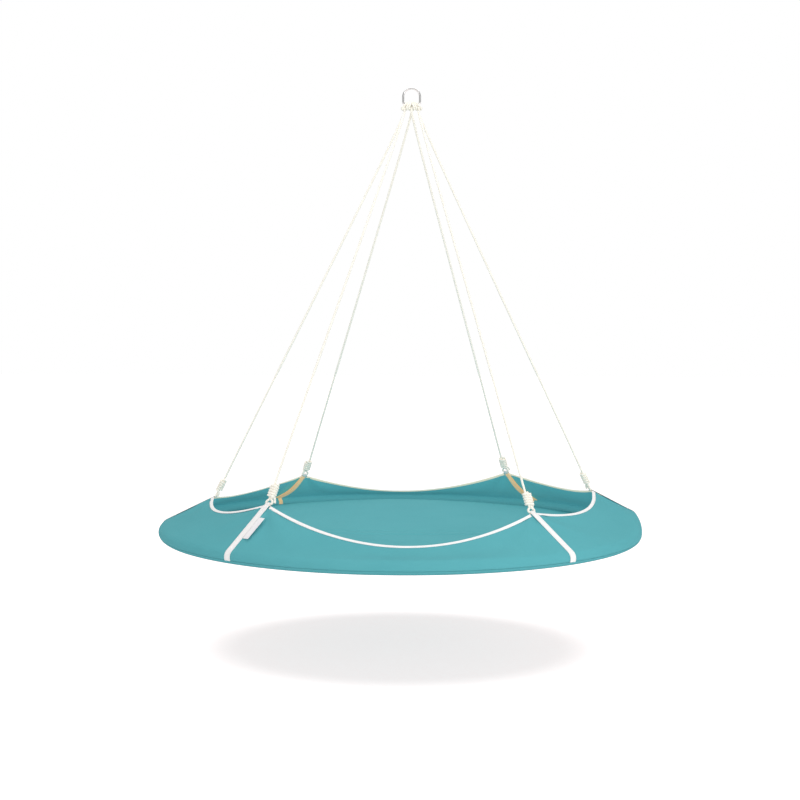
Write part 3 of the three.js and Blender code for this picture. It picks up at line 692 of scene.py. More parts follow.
bm = bmesh.new()
line = ring_line()
square = Vector((0, 1, 0))
rings = []
for i, (x, z) in enumerate(line):
    before, after = line[i - 1], line[(i + 1) % len(line)]
    along = Vector((after[0] - before[0], 0, after[1] - before[1])).normalized()
    on_weld = min(abs(x) / WELD_LENGTH, 1) if z == 0 else 1
    swell = 1 + WELD_SWELL * cos(on_weld * pi / 2)
    basis = Matrix((square.cross(along), square, along)).transposed().to_4x4()
    spot = BED_PLACE + Vector((RING_OFFSET + x, 0, BAR_HEIGHT + z))
    made = bmesh.ops.create_circle(bm, segments=RING_SIDES, radius=WIRE_RADIUS * swell,
                                   matrix=Matrix.Translation(spot) @ basis)["verts"]
    rings.append([e for v in made for e in v.link_edges if e.verts[0] in made and e.verts[1] in made])
for first, second in zip(rings, rings[1:] + rings[:1]):
    bmesh.ops.bridge_loops(bm, edges=list(set(first + second)))
bmesh.ops.recalc_face_normals(bm, faces=bm.faces)
ring = new_piece("welded_ring", bm, steel.material)
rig.ride(ring, "ring")
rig.replaces(ring, "d_ring")
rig.slot(ring, "ring")


# Wall panels: six pieces of turquoise plain-woven polyester, sewn to the base cover low on the rim and to
# each other under the tapes. They pass over the hoop and stretch up to a scalloped edge.
CLOTH_THICKNESS = 0.0012
RIM_SEAM = 0.014
SEAM_GAP = 0.0003
SEAM_TUCK = 0.0005
SHOULDER_KNEE = 0.002
PANELS = {
    "right_rear": ("right", "back_right", 0.064, 0.032),
    "rear": ("back_right", "back_left", 0.199, 0.097),
    "left_rear": ("back_left", "left", 0.066, 0.034),
    "left_front": ("left", "front_left", 0.067, 0.037),
    "front": ("front_left", "front_right", 0.222, 0.091),
    "right_front": ("front_right", "right", 0.067, 0.033),
}
LONG_PANEL = dict(columns=150, hollow=0.007)
SHORT_PANEL = dict(columns=110, hollow=0.004)
CUT_WIDTH = 0.26
CUT_SPARE = 1.25
WALL_ROWS = 30
ROW_CROWDING = 1.15
WALL_STEP = 0.004
RISE_SHARES = (0.15, 0.35, 0.6, 0.85, 1)
FOLD_HEIGHT = 0.0046
FOLD_RATE = 7.5
FOLD_REACH = 0.24
FOLD_START = 0.012
FOLD_SIDE = 0.02
SOFT_SWELL = 0.0022

TURQUOISE = linear(101, 181, 188)
TURQUOISE_DEEP = linear(88, 168, 176)
# Colour of the wall's glow low on its inner face, where it is dimmer: painted shade near the hoop.
PAINTED_SHADE_AT_FOOT = tuple(0.75 * c for c in TURQUOISE)
GLOW_FOOT = 0.040
GLOW_RISE = 0.045
INSIDE_GLOW = 0.37
WEAVE_PITCH = 0.0011
FADE_SIZE = 0.22
CREASE_SIZE = 0.05
PULLS_DRAWN = (26, 3, 1)
RELIEF_SHARES = (0.4, 1.1, 0.12)
CLOTH_RELIEF = 0.0014


def plain_weave(finish, spacing):
    """Warp and weft threads that pass over and under each other, from 0 to 1."""
    warp, weft = finish.ridges(spacing), finish.ridges(spacing, direction="Y")
    return finish.math("MULTIPLY", warp, weft)


def cloth_finish(name, glow, fades=False):
    """Woven cloth. Its glow is painted light that stands in for daylight through the thin cloth; with fades, the glow
    dims near the hoop: painted shade.
    """
    finish = Finish(name, TURQUOISE, 0.9, Specular_IOR_Level=0.12)
    threads = plain_weave(finish, WEAVE_PITCH)
    fade = finish.math("MULTIPLY", finish.cloud(FADE_SIZE, 3), 0.55)
    finish.paint(finish.mix(finish.math("ADD", fade, finish.math("MULTIPLY", threads, 0.35), True),
                            TURQUOISE_DEEP, TURQUOISE))
    drawn_out = finish.add("Mapping", Vector=finish.uv(), Scale=PULLS_DRAWN)
    pulls = finish.add("TexNoise", Vector=drawn_out, Scale=1, Detail=2)
    parts = (finish.cloud(CREASE_SIZE, 4), pulls, threads)
    crease, pull, thread = [finish.math("MULTIPLY", a, b) for a, b in zip(parts, RELIEF_SHARES)]
    finish.emboss(finish.math("ADD", thread, finish.math("ADD", crease, pull)), CLOTH_RELIEF)
    if glow:
        finish.glow(TURQUOISE, glow)
    if fades:
        height = finish.add("SeparateXYZ", 2, Vector=finish.place())
        above = finish.math("SUBTRACT", height, BED_PLACE.z + GLOW_FOOT)
        # Dimmer glow colour towards the foot: painted shade where the cloth lies near the hoop.
        lit = finish.mix(finish.math("DIVIDE", above, GLOW_RISE, True), PAINTED_SHADE_AT_FOOT, TURQUOISE)
        finish.tree.links.new(lit, finish.shader.inputs["Emission Color"])
    return finish.material


cloth = cloth_finish("turquoise cloth", 0)
# The inner face's finish glows: painted light for light through the thin cloth, with painted shade near its foot.
cloth_inside = cloth_finish("turquoise cloth lit through", INSIDE_GLOW, True)


def panel_edge(panel, u):
    """A place on the scalloped edge, for u from -1 to 1: azimuth in degrees, distance out and height."""
    first, last, swell, dip = STRAPS[panel[0]], STRAPS[panel[1]], panel[2], panel[3]
    start, end = first["azimuth"], last["azimuth"]
    if end <= start:
        end += 360
    middle = radians((start + end) / 2)
    a = on_bed(start, first["out"], 0, first["peak"]) - BED_PLACE
    b = on_bed(end, last["out"], 0, last["peak"]) - BED_PLACE
    bow = 1 - u * u
    spot = a.lerp(b, (1 + u) / 2) + Vector((cos(middle), sin(middle), 0)) * (swell * bow)
    spot.z -= dip * bow
    outward = spot.x * cos(middle) + spot.y * sin(middle)
    sideways = spot.y * cos(middle) - spot.x * sin(middle)
    return (start + end) / 2 + atan2(sideways, outward) * 180 / pi, hypot(spot.x, spot.y), spot.z


def over_hoop(radius, lift, end_angle, steps=8):
    """Places round the hoop's side, from the low seam to where the cloth leaves it. By the right strap it
    stands off, as the lift says."""
    foot = asin((RIM_SEAM - HOOP.y) / radius)
    places = []
    for k in range(steps + 1):
        angle = foot + (end_angle - foot) * k / steps
        rising = max(angle / end_angle, 0)
        inward = SHOULDER_KNEE * sin(rising * pi) - SHOULDER_IN * rising ** 3
        places.append(rim(radius, angle) + Vector((inward, SHOULDER_RISE * rising)) * lift)
    return places


def wall_profile(azimuth, top):
    """The cloth's outer face at one place, and how far along it the cloth comes free of the hoop."""
    points = over_hoop(SKIN_RADIUS, shoulder_lift(azimuth), tangent_angle(SKIN_RADIUS, top))
    bend = points[-1]
    free_from = distances(points)[-1]
    points += [bend.lerp(top, share) for share in RISE_SHARES]
    return [p.to_3d() for p in points], free_from


def even_points(path, count):
    """The same number of points at even distances along a path, drawn together a little at its start."""
    length = distances(path)
    made, k = [], 0
    for i in range(count + 1):
        wanted = length[-1] * (i / count) ** ROW_CROWDING
        while k < len(path) - 2 and length[k + 1] < wanted:
            k += 1
        share = (wanted - length[k]) / max(length[k + 1] - length[k], 1e-9)
        made.append(path[k].lerp(path[k + 1], min(max(share, 0), 1)))
    return made


def cloth_swell(hollow, phase, along, free, free_length, edge_span):
    """How far the stretched cloth stands out from its straight line, at a distance along the panel and a
    share of the way from the hoop to the edge: a hollow, with folds running down from both peaks."""
    swell = -hollow * sin(pi * free) ** 1.5 * sin(pi * along / edge_span) ** 0.7
    folds = 0
    for side, distance in ((0, along), (1, edge_span - along)):
        down = (1 - free) * free_length + FOLD_START
        spread = atan2(distance, down)
        fade_out = exp(-hypot(distance, down) / FOLD_REACH) * min(distance / FOLD_SIDE, 1)
        folds += FOLD_HEIGHT * sin(FOLD_RATE * spread + 1.3 * side + phase) * fade_out
    soft = SOFT_SWELL * noise.noise(Vector((along * 6, free * free_length * 7, phase * 0.1))) * sin(pi * free)
    return swell + folds * min(free * 4, 1) ** 2 * (1 - free ** 8) + soft


def look_outward(bm, face):
    """All faces turned over, if the one given looks towards the bed's middle."""
    if face.normal.dot(face.calc_center_median() - BED_PLACE) < 0:
        bmesh.ops.reverse_faces(bm, faces=bm.faces)


def thicken(piece, thickness, offset=0):
    """Thickness for a sheet, inward from it where the offset is -1 and to both sides where it is 0."""
    shell = piece.modifiers.new("thickness", "SOLIDIFY")
    shell.thickness = thickness
    shell.offset = offset
    return shell


wall_columns = {}
for index, (name, panel) in enumerate(PANELS.items()):
    size = LONG_PANEL if name in ("front", "rear") else SHORT_PANEL
    count = size["columns"]
    edge_run = [panel_edge(panel, -1 + 2 * i / count) for i in range(count + 1)]
    flat_along = distances([on_bed(a, out, 0, z) for a, out, z in edge_run])
    columns = []
    for i, (azimuth, out, z) in enumerate(edge_run):
        profile, free_from = wall_profile(azimuth, Vector((out, z)))
        line = even_points(smooth_path(profile, WALL_STEP), WALL_ROWS)
        height = distances(line)
        column = []
        for j, point in enumerate(line):
            before, after = line[max(j - 1, 0)], line[min(j + 1, WALL_ROWS)]
            slope = (after - before).normalized()
            free_length = height[-1] - free_from
            free = max(height[j] - free_from, 0) / free_length
            push = cloth_swell(size["hollow"], index * 1.7, flat_along[i], free, free_length, flat_along[-1])
            column.append((point.x + slope.y * push, point.y - slope.x * push))
        column[0] = (column[0][0] - SEAM_TUCK, column[0][1] + SEAM_GAP)
        columns.append((azimuth, column))
    wall_columns[name] = columns
    rows = distances([Vector((x, y, 0)) for x, y in columns[count // 2][1]])

    def place(i, j):
        azimuth, column = columns[i]
        return on_bed(azimuth, column[j][0], 0, column[j][1])

    bm = laid_grid(flat_along, rows, place)
    look_outward(bm, bm.faces[:][len(bm.faces) // 2])
    piece = new_piece("cloth_wall_" + name, bm, cloth)
    # The inner face takes the glowing finish: painted light, with painted shade near its foot.
    piece.data.materials.append(cloth_inside)
    thicken(piece, CLOTH_THICKNESS, -1).material_offset = 1
    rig.ride(piece, "bed")
    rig.replaces(piece, "wall_" + name)
    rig.slot(piece, "cloth")
    area = sum(face.area for face in piece.data.polygons)
    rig.sheet(piece, flat=(round(flat_along[-1] * CUT_SPARE, 2), CUT_WIDTH), held="stretched", area=area,
             rests_on=["hoop_tube_" + panel[0], "hoop_tube_" + panel[1]])


# Bindings: six strips of white webbing tape, folded over the wall's cut edge and stitched through, white
# outside and natural inside, from one seam tape to the next.
BINDING_LEG = 0.011
BINDING_STAND = 0.0011
BINDING_THICKNESS = 0.0008
BINDING_FOLD = 0.0029
BINDING_WEAVE = 0.0012
BINDING_RELIEF = 0.0003
STITCHES_IN = 0.0022
STITCHES_HALF = 0.0005
STITCH_PITCH = 0.0036
BINDING_WHITE = linear(246, 244, 243)
BINDING_NATURAL = linear(244, 226, 202)
BEND_POINTS = 8
LEG_SHARES = (1, 0.66, 0.33)
TAPE_HALF = 0.0125
UNDER_TAPE = 0.003


def binding_finish(name, colour, glow):
    """Plain-woven webbing with a row of stitches along the foot of its outer leg, and a glow: painted light."""
    finish = Finish(name, colour, 0.75, Sheen_Weight=0.1)
    across_tape = finish.across()
    threads = plain_weave(finish, BINDING_WEAVE)
    dash = finish.math("GREATER_THAN", finish.ridges(STITCH_PITCH), 0.4)
    stitches = finish.math("MULTIPLY", dash, finish.row(across_tape, STITCHES_IN, STITCHES_HALF))
    finish.emboss(finish.math("ADD", finish.math("MULTIPLY", threads, 0.3), stitches), BINDING_RELIEF)
    finish.glow(colour, glow)
    return finish.material


# The inner face glows strongly and the outer one slightly: painted light that lifts the inner face out of the shade
# inside the wall.
binding_outside = binding_finish("folded binding", BINDING_WHITE, 0.04)
binding_inside = binding_finish("folded binding, natural face", BINDING_NATURAL, 0.45)


def wall_top(column):
    """The last points of a wall column: its edge, the direction up along it and the direction out from it."""
    top, below = Vector(column[-1]), Vector(column[-4])
    up = (top - below).normalized()
    return top, up, Vector((up.y, -up.x))


def folded_section(top, up, out):
    """The binding's middle line, from the outer leg's foot over the edge to the inner leg's foot."""
    half = CLOTH_THICKNESS / 2 + BINDING_STAND
    centre = top - out * (CLOTH_THICKNESS / 2)
    section = [centre + out * half - up * (BINDING_LEG * share) for share in LEG_SHARES]
    for k in range(BEND_POINTS + 1):
        a = k / BEND_POINTS * pi
        section.append(centre + out * (half * cos(a)) + up * (half * sin(a)))
    return section + [centre - out * half - up * (BINDING_LEG * share) for share in reversed(LEG_SHARES)]


for name, panel in PANELS.items():
    starts, ends = STRAPS[panel[0]]["azimuth"], STRAPS[panel[1]]["azimuth"]
    if ends <= starts:
        ends += 360
    kept = []
    for azimuth, column in wall_columns[name]:
        out = column[-1][0]
        from_start, to_end = radians(azimuth - starts) * out, radians(ends - azimuth) * out
        if min(from_start, to_end) > TAPE_HALF - UNDER_TAPE:
            kept.append((azimuth, folded_section(*wall_top(column))))
    run = distances([on_bed(a, s[0].x, 0, s[0].y) for a, s in kept])
    across = distances([p.to_3d() for p in kept[0][1]])
    bm = laid_grid(run, across, lambda i, j: on_bed(kept[i][0], kept[i][1][j].x, 0, kept[i][1][j].y))
    piece = new_piece("folded_binding_" + name, bm, binding_outside)
    piece.data.materials.append(binding_inside)
    spread = piece.data.uv_layers[0].data
    for face in piece.data.polygons:
        if min(spread[k].uv.y for k in face.loop_indices) > BINDING_LEG + BINDING_FOLD:
            face.material_index = 1
    thicken(piece, BINDING_THICKNESS)
    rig.ride(piece, "bed")
    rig.replaces(piece, "binding_" + name)
    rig.slot(piece, "white_webbing")


# Seam tapes: six lengths of 25 mm white webbing, sewn over the seams between the panels. Each starts at the
# rim's foot, runs up the wall, narrows into a loop round the rope, and is sewn down again on the inside.
TAPE_THICKNESS = 0.0015
TAPE_CLEAR = 0.0003
TAPE_CUP = 0.0022
TAPE_NECK = ((-0.012, TAPE_HALF), (0.001, 0.0105))
TAPE_LOOP_HALF = 0.0078
TAPE_INSIDE = 0.0057
TAPE_END = ((0, 0.0095), (0.009, 0.0118), (0.025, 0.0120))
TAPE_STEPS = (0.0035, 0.006)
TAPE_WHITE = linear(245, 243, 243)
TAPE_GLOW = 0.07
TAPE_TWILL = (0.0013, 28)
TAPE_ROWS = 0.0098
TAPE_STITCH_PITCH = 0.0034
WEBBING_RELIEF = 0.0004


def twill(finish, pitch, degrees):
    """Ribs that cross each other at a slant, from 0 to 1."""
    return finish.math("MULTIPLY", *[finish.ridges(pitch, side * radians(degrees)) for side in (1, -1)])


tape = Finish("white webbing", TAPE_WHITE, 0.7, Sheen_Weight=0.1)
rib = twill(tape, *TAPE_TWILL)
from_middle = tape.math("ABSOLUTE", tape.across())
rows_of_thread = tape.row(from_middle, TAPE_ROWS, STITCHES_HALF)
dashes = tape.math("GREATER_THAN", tape.ridges(TAPE_STITCH_PITCH), 0.35)
thread = tape.math("MULTIPLY", rows_of_thread, dashes)
tape.paint(tape.mix(rib, linear(238, 236, 235), linear(252, 250, 249)))
# The tape glows a little: painted light that keeps it white in shade.
tape.glow(TAPE_WHITE, TAPE_GLOW)
tape.emboss(tape.math("ADD", tape.math("MULTIPLY", rib, 0.5), thread), WEBBING_RELIEF)


def tape_line(strap):
    """The tape's outer face as (out, height), with its width at each point."""
    peak, up, out = strap_peak(strap)
    stand = TAPE_THICKNESS + TAPE_CLEAR
    wrap = over_hoop(SKIN_RADIUS + stand, shoulder_lift(strap["azimuth"]), tangent_angle(SKIN_RADIUS, peak))
    top = peak + out * stand
    line = [(place, TAPE_HALF) for place in wrap]
    line += [(wrap[-1].lerp(top, share), TAPE_HALF) for share in (0.2, 0.4, 0.6, 0.8)]
    line += [(top + up * above, half) for above, half in TAPE_NECK]
    loop = ROPE_RADIUS + TAPE_THICKNESS
    for degrees in range(0, 181, 30):
        a = radians(degrees)
        spot = peak + up * (EYE_RISE + loop * sin(a)) + out * (EYE_DEPTH + loop * cos(a))
        line.append((spot, TAPE_LOOP_HALF))
    inside = peak - out * (TAPE_INSIDE + TAPE_THICKNESS)
    return line + [(inside - up * below, half) for below, half in TAPE_END]


for name, strap in STRAPS.items():
    smooth = smooth_path([Vector((p.x, p.y, half)) for p, half in tape_line(strap)], *TAPE_STEPS)
    run = distances([Vector((p.x, p.y, 0)) for p in smooth])
    shares = [k / 10 * 2 - 1 for k in range(11)]

    def place(i, j):
        p = smooth[i]
        before, after = smooth[max(i - 1, 0)], smooth[min(i + 1, len(smooth) - 1)]
        slope = Vector((after.x - before.x, after.y - before.y)).normalized()
        cup = (TAPE_HALF - p.z) / TAPE_HALF * TAPE_CUP * (shares[j] ** 2)
        spot = Vector((p.x, p.y)) - Vector((slope.y, -slope.x)) * cup
        return on_bed(strap["azimuth"], spot.x, p.z * shares[j], spot.y)

    bm = laid_grid(run, [s * TAPE_HALF for s in shares], place)
    look_outward(bm, min(bm.faces, key=lambda f: f.calc_center_median().z))
    piece = new_piece("seam_tape_" + name, bm, tape.material)
    thicken(piece, TAPE_THICKNESS, -1)
    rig.ride(piece, "bed")
    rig.replaces(piece, "tape_" + name)
    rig.slot(piece, "white_webbing")


# Slings: six loops of natural cotton webbing inside the wall. Each goes once round the hoop, and its two
# plies run up inside the cloth to the eye, so that the ropes carry the hoop and not the cloth.
SLING_HALF = 0.0092
SLING_PLY = 0.0014
SLING_RADIUS = 0.0222
SLING_DEPTH = -0.0030
SLING_CLEAR = 0.0004
SLING_OVER = 0.0015
SLING_OPEN = 1.25
WRAP_STEPS = 14
BACK_BOW = 0.004
SLANTS = {"back_left": 3.6, "back_right": -3.6}
SLANT_FOOT = 0.05
SLING_HANG = 0.013
SLING_STEPS = (0.004, 0.008)
SLING_TWILL = (0.0016, 35)
SLING_GLOW = 0.50

sling = Finish("natural webbing", linear(225, 192, 148), 0.82, Sheen_Weight=0.15)
sling_rib = twill(sling, *SLING_TWILL)
sling.paint(sling.mix(sling_rib, linear(214, 178, 130), linear(238, 208, 166)))
sling.emboss(sling_rib, WEBBING_RELIEF)
# The slings glow strongly: painted light that keeps them bright in the shade inside the wall.
sling.glow(linear(228, 192, 146), SLING_GLOW)

for name, strap in STRAPS.items():
    peak, up, out = strap_peak(strap)
    top = peak + out * SLING_DEPTH
    front_angle = tangent_angle(SLING_RADIUS, top)
    line = [top + up * SLING_OVER]
    if shoulder_lift(strap["azimuth"]):
        line.append(top - up * SHOULDER_RISE)
        front_angle = tangent_angle(SLING_RADIUS, line[-1])
    line += [line[-1].lerp(rim(SLING_RADIUS, front_angle), share) for share in (0.3, 0.6, 0.9)]
    for k in range(WRAP_STEPS + 1):
        line.append(rim(SLING_RADIUS, front_angle - (2 * pi - SLING_OPEN) * k / WRAP_STEPS))
    back_top = top - out * (SLING_PLY + SLING_CLEAR)
    back_start = line[-1]
    for share in (0.25, 0.5, 0.75, 1):
        line.append(back_start.lerp(back_top, share) - out * (BACK_BOW * sin(pi * share)))
    smooth = smooth_path([p.to_3d() for p in line], *SLING_STEPS)
    run = distances(smooth)
    shares = [k / 4 * 2 - 1 for k in range(5)]

    def place(i, j):
        lower = min(max((top.y - smooth[i].y) / (top.y - SLANT_FOOT), 0), 1)
        slant = SLANTS.get(name, 0)
        hang = SLING_HANG * sin(pi * lower) if slant else 0
        azimuth = strap["azimuth"] + slant * lower ** 0.8
        return on_bed(azimuth, smooth[i].x - out.x * hang, SLING_HALF * shares[j], smooth[i].y - out.y * hang)

    bm = laid_grid(run, [s * SLING_HALF for s in shares], place)
    piece = new_piece("webbing_sling_" + name, bm, sling.material)
    thicken(piece, SLING_PLY)
    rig.ride(piece, "bed")
    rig.replaces(piece, "sling_" + name)
    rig.slot(piece, "tan_webbing")


# Base cover: one flat round of the same cloth, whose edge turns up round the foot of the hoop and is sewn to
# the wall panels there. It carries the mattress.
BASE_SPOKES = 240
BASE_SHARES = (0.0, 0.15, 0.3, 0.45, 0.6, 0.75, 0.88, 0.96)
BASE_CUT = 1.90
BASE_SPREAD = 0.945


def turned(profile, spokes):
    """A closed round sheet, from its section as (out, height) turned about the bed's middle."""
    bm = bmesh.new()
    verts = [bm.verts.new(BED_PLACE + Vector((p.x, 0, p.y))) for p in profile]
    edges = [bm.edges.new(pair) for pair in zip(verts, verts[1:])]
    bmesh.ops.spin(bm, geom=verts + edges, cent=BED_PLACE, axis=(0, 0, 1), angle=2 * pi, steps=spokes,
                   use_merge=True)
    bmesh.ops.remove_doubles(bm, verts=bm.verts, dist=1e-5)
    bmesh.ops.recalc_face_normals(bm, faces=bm.faces)
    return bm


def lay_uvs(bm, place):
    """UVs for the whole mesh, in metres, from what place(co) says for each corner."""
    layer = bm.loops.layers.uv.new("UVMap")
    for face in bm.faces:
        for loop in face.loops:
            loop[layer].uv = place(loop.vert.co)


profile = [Vector((share * HOOP.x, 0)) for share in BASE_SHARES]
seam_angle = asin((RIM_SEAM - HOOP.y) / SKIN_RADIUS)
profile += [rim(SKIN_RADIUS, -pi / 2 + (seam_angle + pi / 2) * k / 9) for k in range(9)]
profile.append(rim(SKIN_RADIUS, seam_angle) - Vector((SEAM_TUCK, SEAM_GAP)))
bm = turned(profile, BASE_SPOKES)
if min(bm.faces, key=lambda f: f.calc_center_median().z).normal.z > 0:
    bmesh.ops.reverse_faces(bm, faces=bm.faces)
lay_uvs(bm, lambda co: (co.x, co.y + co.z))
base = new_piece("base_cloth", bm, cloth)
thicken(base, CLOTH_THICKNESS, -1)
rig.ride(base, "bed")
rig.replaces(base, "base_cover")
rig.slot(base, "cloth")
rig.sheet(base, flat=(BASE_CUT, BASE_CUT), held="stretched", area=pi * BASE_SPREAD ** 2,
         rests_on=["hoop_tube_front_left"])


# Mattress: a round pad of fibre fill in the same cloth, lying loose inside the rim. Its cover is blown up by
# simulation, so that it is soft at its edge and a little uneven, and is then sewn through in two rows.
MATTRESS_RADIUS = 0.8640
MATTRESS_TOP = 0.034
MATTRESS_CROWN = 0.010
MATTRESS_FLOOR = 0.0026
SLACK = 0.003
SWELL_LIMIT = 0.006
FRAMES = 20
SEAMS = ((-0.320, 0.0065), (-0.250, 0.0035))
SEAM_SPREAD = 0.008
SEAM_CUTS = (-0.012, -0.006, -0.002, 0.002, 0.006, 0.012)
EDGE_STEPS = 12
TOP_STEPS = 20
EDGE_DROOP = 0.012
DROOP_START = 0.66
TOP_SLACK = 0.004
MATTRESS_SPOKES = 260
MATTRESS_MESH = 0.011
PRESSURE = 2.5
LUMPS = ((3.1, 0.7, 0.0030), (11, 3.1, 0.0010))
PAD_GLOW = 0.05


def pad_top(radius):
    """The height of the pad's crowned top, before its fill shifts."""
    return MATTRESS_TOP + MATTRESS_CROWN * (1 - (radius / MATTRESS_RADIUS) ** 2)


def lumps(spot, rate, layer, height):
    """Uneven fill: soft noise over the pad, up and down by the height."""
    return noise.noise(Vector((spot.x * rate, spot.y * rate, layer))) * height


def mesh_now(piece):
    """A piece's mesh as its modifiers leave it."""
    return bpy.data.meshes.new_from_object(piece.evaluated_get(bpy.context.evaluated_depsgraph_get()))


edge_half = (MATTRESS_TOP - MATTRESS_FLOOR) / 2 - SLACK / 2
middle = (MATTRESS_TOP + MATTRESS_FLOOR) / 2
flat_radius = MATTRESS_RADIUS - SLACK - edge_half
profile = [Vector((share * flat_radius, middle - edge_half)) for share in (0, 0.3, 0.6, 0.85)]
for k in range(EDGE_STEPS + 1):
    a = -pi / 2 + pi * k / EDGE_STEPS
    profile.append(Vector((flat_radius + edge_half * cos(a), middle + edge_half * sin(a))))
for k in range(1, TOP_STEPS + 1):
    radius = (1 - k / TOP_STEPS) * flat_radius
    profile.append(Vector((radius, pad_top(radius) - SLACK)))
pad = new_piece("pad_cover", turned(profile, MATTRESS_SPOKES))
remesh = pad.modifiers.new("remesh", "REMESH")
remesh.mode = "VOXEL"
remesh.voxel_size = MATTRESS_MESH
start = mesh_now(pad)
pad.modifiers.clear()
pad.data = start
shape = start
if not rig.quick():
    blown = pad.modifiers.new("blown", "CLOTH")
    blown.settings.use_pressure = True
    blown.settings.uniform_pressure_force = PRESSURE
    blown.settings.effector_weights.gravity = 0
    blown.settings.quality = 4
    blown.point_cache.frame_start = 1
    blown.point_cache.frame_end = FRAMES
    for frame_number in range(1, FRAMES + 1):
        bpy.context.scene.frame_set(frame_number)
    shape = mesh_now(pad)
places = []
for vert, moved in zip(start.vertices, shape.vertices):
    shift = moved.co - vert.co
    if shift.length > SWELL_LIMIT:
        shift *= SWELL_LIMIT / shift.length
    places.append(vert.co + shift)
bpy.data.objects.remove(pad)

bm = bmesh.new()
bm.from_mesh(start)
for vert, place in zip(bm.verts, places):
    vert.co = place
for place_y, depth in SEAMS:
    for offset in SEAM_CUTS:
        bmesh.ops.bisect_plane(bm, geom=bm.verts[:] + bm.edges[:] + bm.faces[:],
                               plane_co=BED_PLACE + Vector((0, place_y + offset, 0)), plane_no=(0, 1, 0))
for vert in bm.verts:
    spot = vert.co - BED_PLACE
    radius = hypot(spot.x, spot.y)
    upper = min(max((spot.z - middle) / edge_half, 0), 1)
    uneven = sum(lumps(spot, *size) for size in LUMPS)
    droop = EDGE_DROOP * min(max((radius - DROOP_START) / (MATTRESS_RADIUS - DROOP_START), 0), 1) ** 1.5
    channel = sum(depth * exp(-abs(spot.y - place_y) / SEAM_SPREAD) for place_y, depth in SEAMS)
    spot.z = max(spot.z + upper * (uneven - channel - droop), MATTRESS_FLOOR)
    spot.z = min(spot.z, pad_top(radius) + TOP_SLACK)
    if radius > MATTRESS_RADIUS:
        spot.x, spot.y = spot.x * MATTRESS_RADIUS / radius, spot.y * MATTRESS_RADIUS / radius
    vert.co = BED_PLACE + spot
lay_uvs(bm, lambda co: (co.x, co.y + co.z))
# The pad's cloth glows a little: painted light.
mattress = new_piece("padded_mattress", bm, cloth_finish("mattress cloth", PAD_GLOW))
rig.ride(mattress, "bed")
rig.replaces(mattress, "mattress")
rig.slot(mattress, "cloth")
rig.padded(mattress, fill=0.7)


# Label: a small folded strip of white ribbon, bare on both faces, sewn in at the side of the front-left tape.
# It stands off the wall a little at its free edge.
LABEL_LENGTH = 0.100
LABEL_WIDTH = 0.030
LABEL_BELOW = 0.062
LABEL_UNDER_TAPE = 0.001
LABEL_STAND = 0.0018
LABEL_CURL = 0.0050
LABEL_SAG = 0.004
LABEL_SPLAY = 0.003
LABEL_THICKNESS = 0.0005
RIBBON_WHITE = linear(244, 242, 243)
RIBBON_PITCH = 0.0008
RIBBON_RELIEF = 0.0001
RIBBON_GLOW = 0.06

ribbon = Finish("label ribbon", RIBBON_WHITE, 0.55)
ribbon_rib = ribbon.ridges(RIBBON_PITCH)
ribbon.paint(ribbon.mix(ribbon_rib, linear(232, 230, 232), linear(248, 246, 247)))
ribbon.emboss(ribbon_rib, RIBBON_RELIEF)
# The ribbon glows a little: painted light.
ribbon.glow(RIBBON_WHITE, RIBBON_GLOW)
strap = STRAPS["front_left"]
peak, up, out = strap_peak(strap)
along = [LABEL_LENGTH * k / 24 for k in range(25)]
across = [LABEL_WIDTH * k / 8 for k in range(9)]


def label_place(i, j):
    free, lower = across[j] / LABEL_WIDTH, along[i] / LABEL_LENGTH
    stand = LABEL_STAND + LABEL_CURL * free ** 1.5 * (0.4 + 0.6 * lower)
    spot = peak - up * (LABEL_BELOW + along[i] + LABEL_SAG * free) + out * stand
    aside = TAPE_HALF - LABEL_UNDER_TAPE + across[j] + LABEL_SPLAY * lower
    return on_bed(strap["azimuth"], spot.x, aside, spot.y)


label = new_piece("bare_label", laid_grid(along, across, label_place), ribbon.material)
thicken(label, LABEL_THICKNESS)
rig.ride(label, "bed")
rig.replaces(label, "label")
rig.slot(label, "white_webbing")


# Hoop: six lengths of galvanised steel tube, bent to the bed's round and pushed over straight spigots end to
# end. It lies hidden inside the rim and keeps its CAD shape.
SPANGLE_SIZE = 0.012

tube_steel = Finish("galvanised tube", linear(186, 189, 190), 0.38, Metallic=1.0)
spangle = tube_steel.cloud(SPANGLE_SIZE, 2)
tube_steel.paint(tube_steel.mix(spangle, linear(160, 164, 166), linear(205, 208, 209)))
tube_steel.rough(spangle, 0.28, 0.5)
for name, node in frame["nodes"].items():
    if name.startswith("hoop_"):
        node.data.materials.clear()
        node.data.materials.append(tube_steel.material)


# Sleeve: a strip of the wall's own cloth, sewn in along the rim as a channel for the hoop's tubes. It hides
# them from inside the bed.
SLEEVE_RADIUS = 0.0212
SLEEVE_START = 40
SLEEVE_SWEEP = 190
SLEEVE_STEPS = 16


def round_the_rim(co):
    spot = co - BED_PLACE
    return atan2(spot.y, spot.x) * HOOP.x, spot.z


angles = [radians(SLEEVE_START + SLEEVE_SWEEP * k / SLEEVE_STEPS) for k in range(SLEEVE_STEPS + 1)]
bm = turned([rim(SLEEVE_RADIUS, a) for a in angles], BASE_SPOKES)
inner = min(bm.faces, key=lambda f: (f.calc_center_median() - BED_PLACE).to_2d().length)
if inner.normal.dot(inner.calc_center_median() - BED_PLACE) > 0:
    bmesh.ops.reverse_faces(bm, faces=bm.faces)
lay_uvs(bm, round_the_rim)
# It takes the wall's inner finish: painted light, with painted shade near its foot.
sleeve = new_piece("hoop_sleeve", bm, cloth_inside)
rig.ride(sleeve, "bed")
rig.slot(sleeve, "cloth")


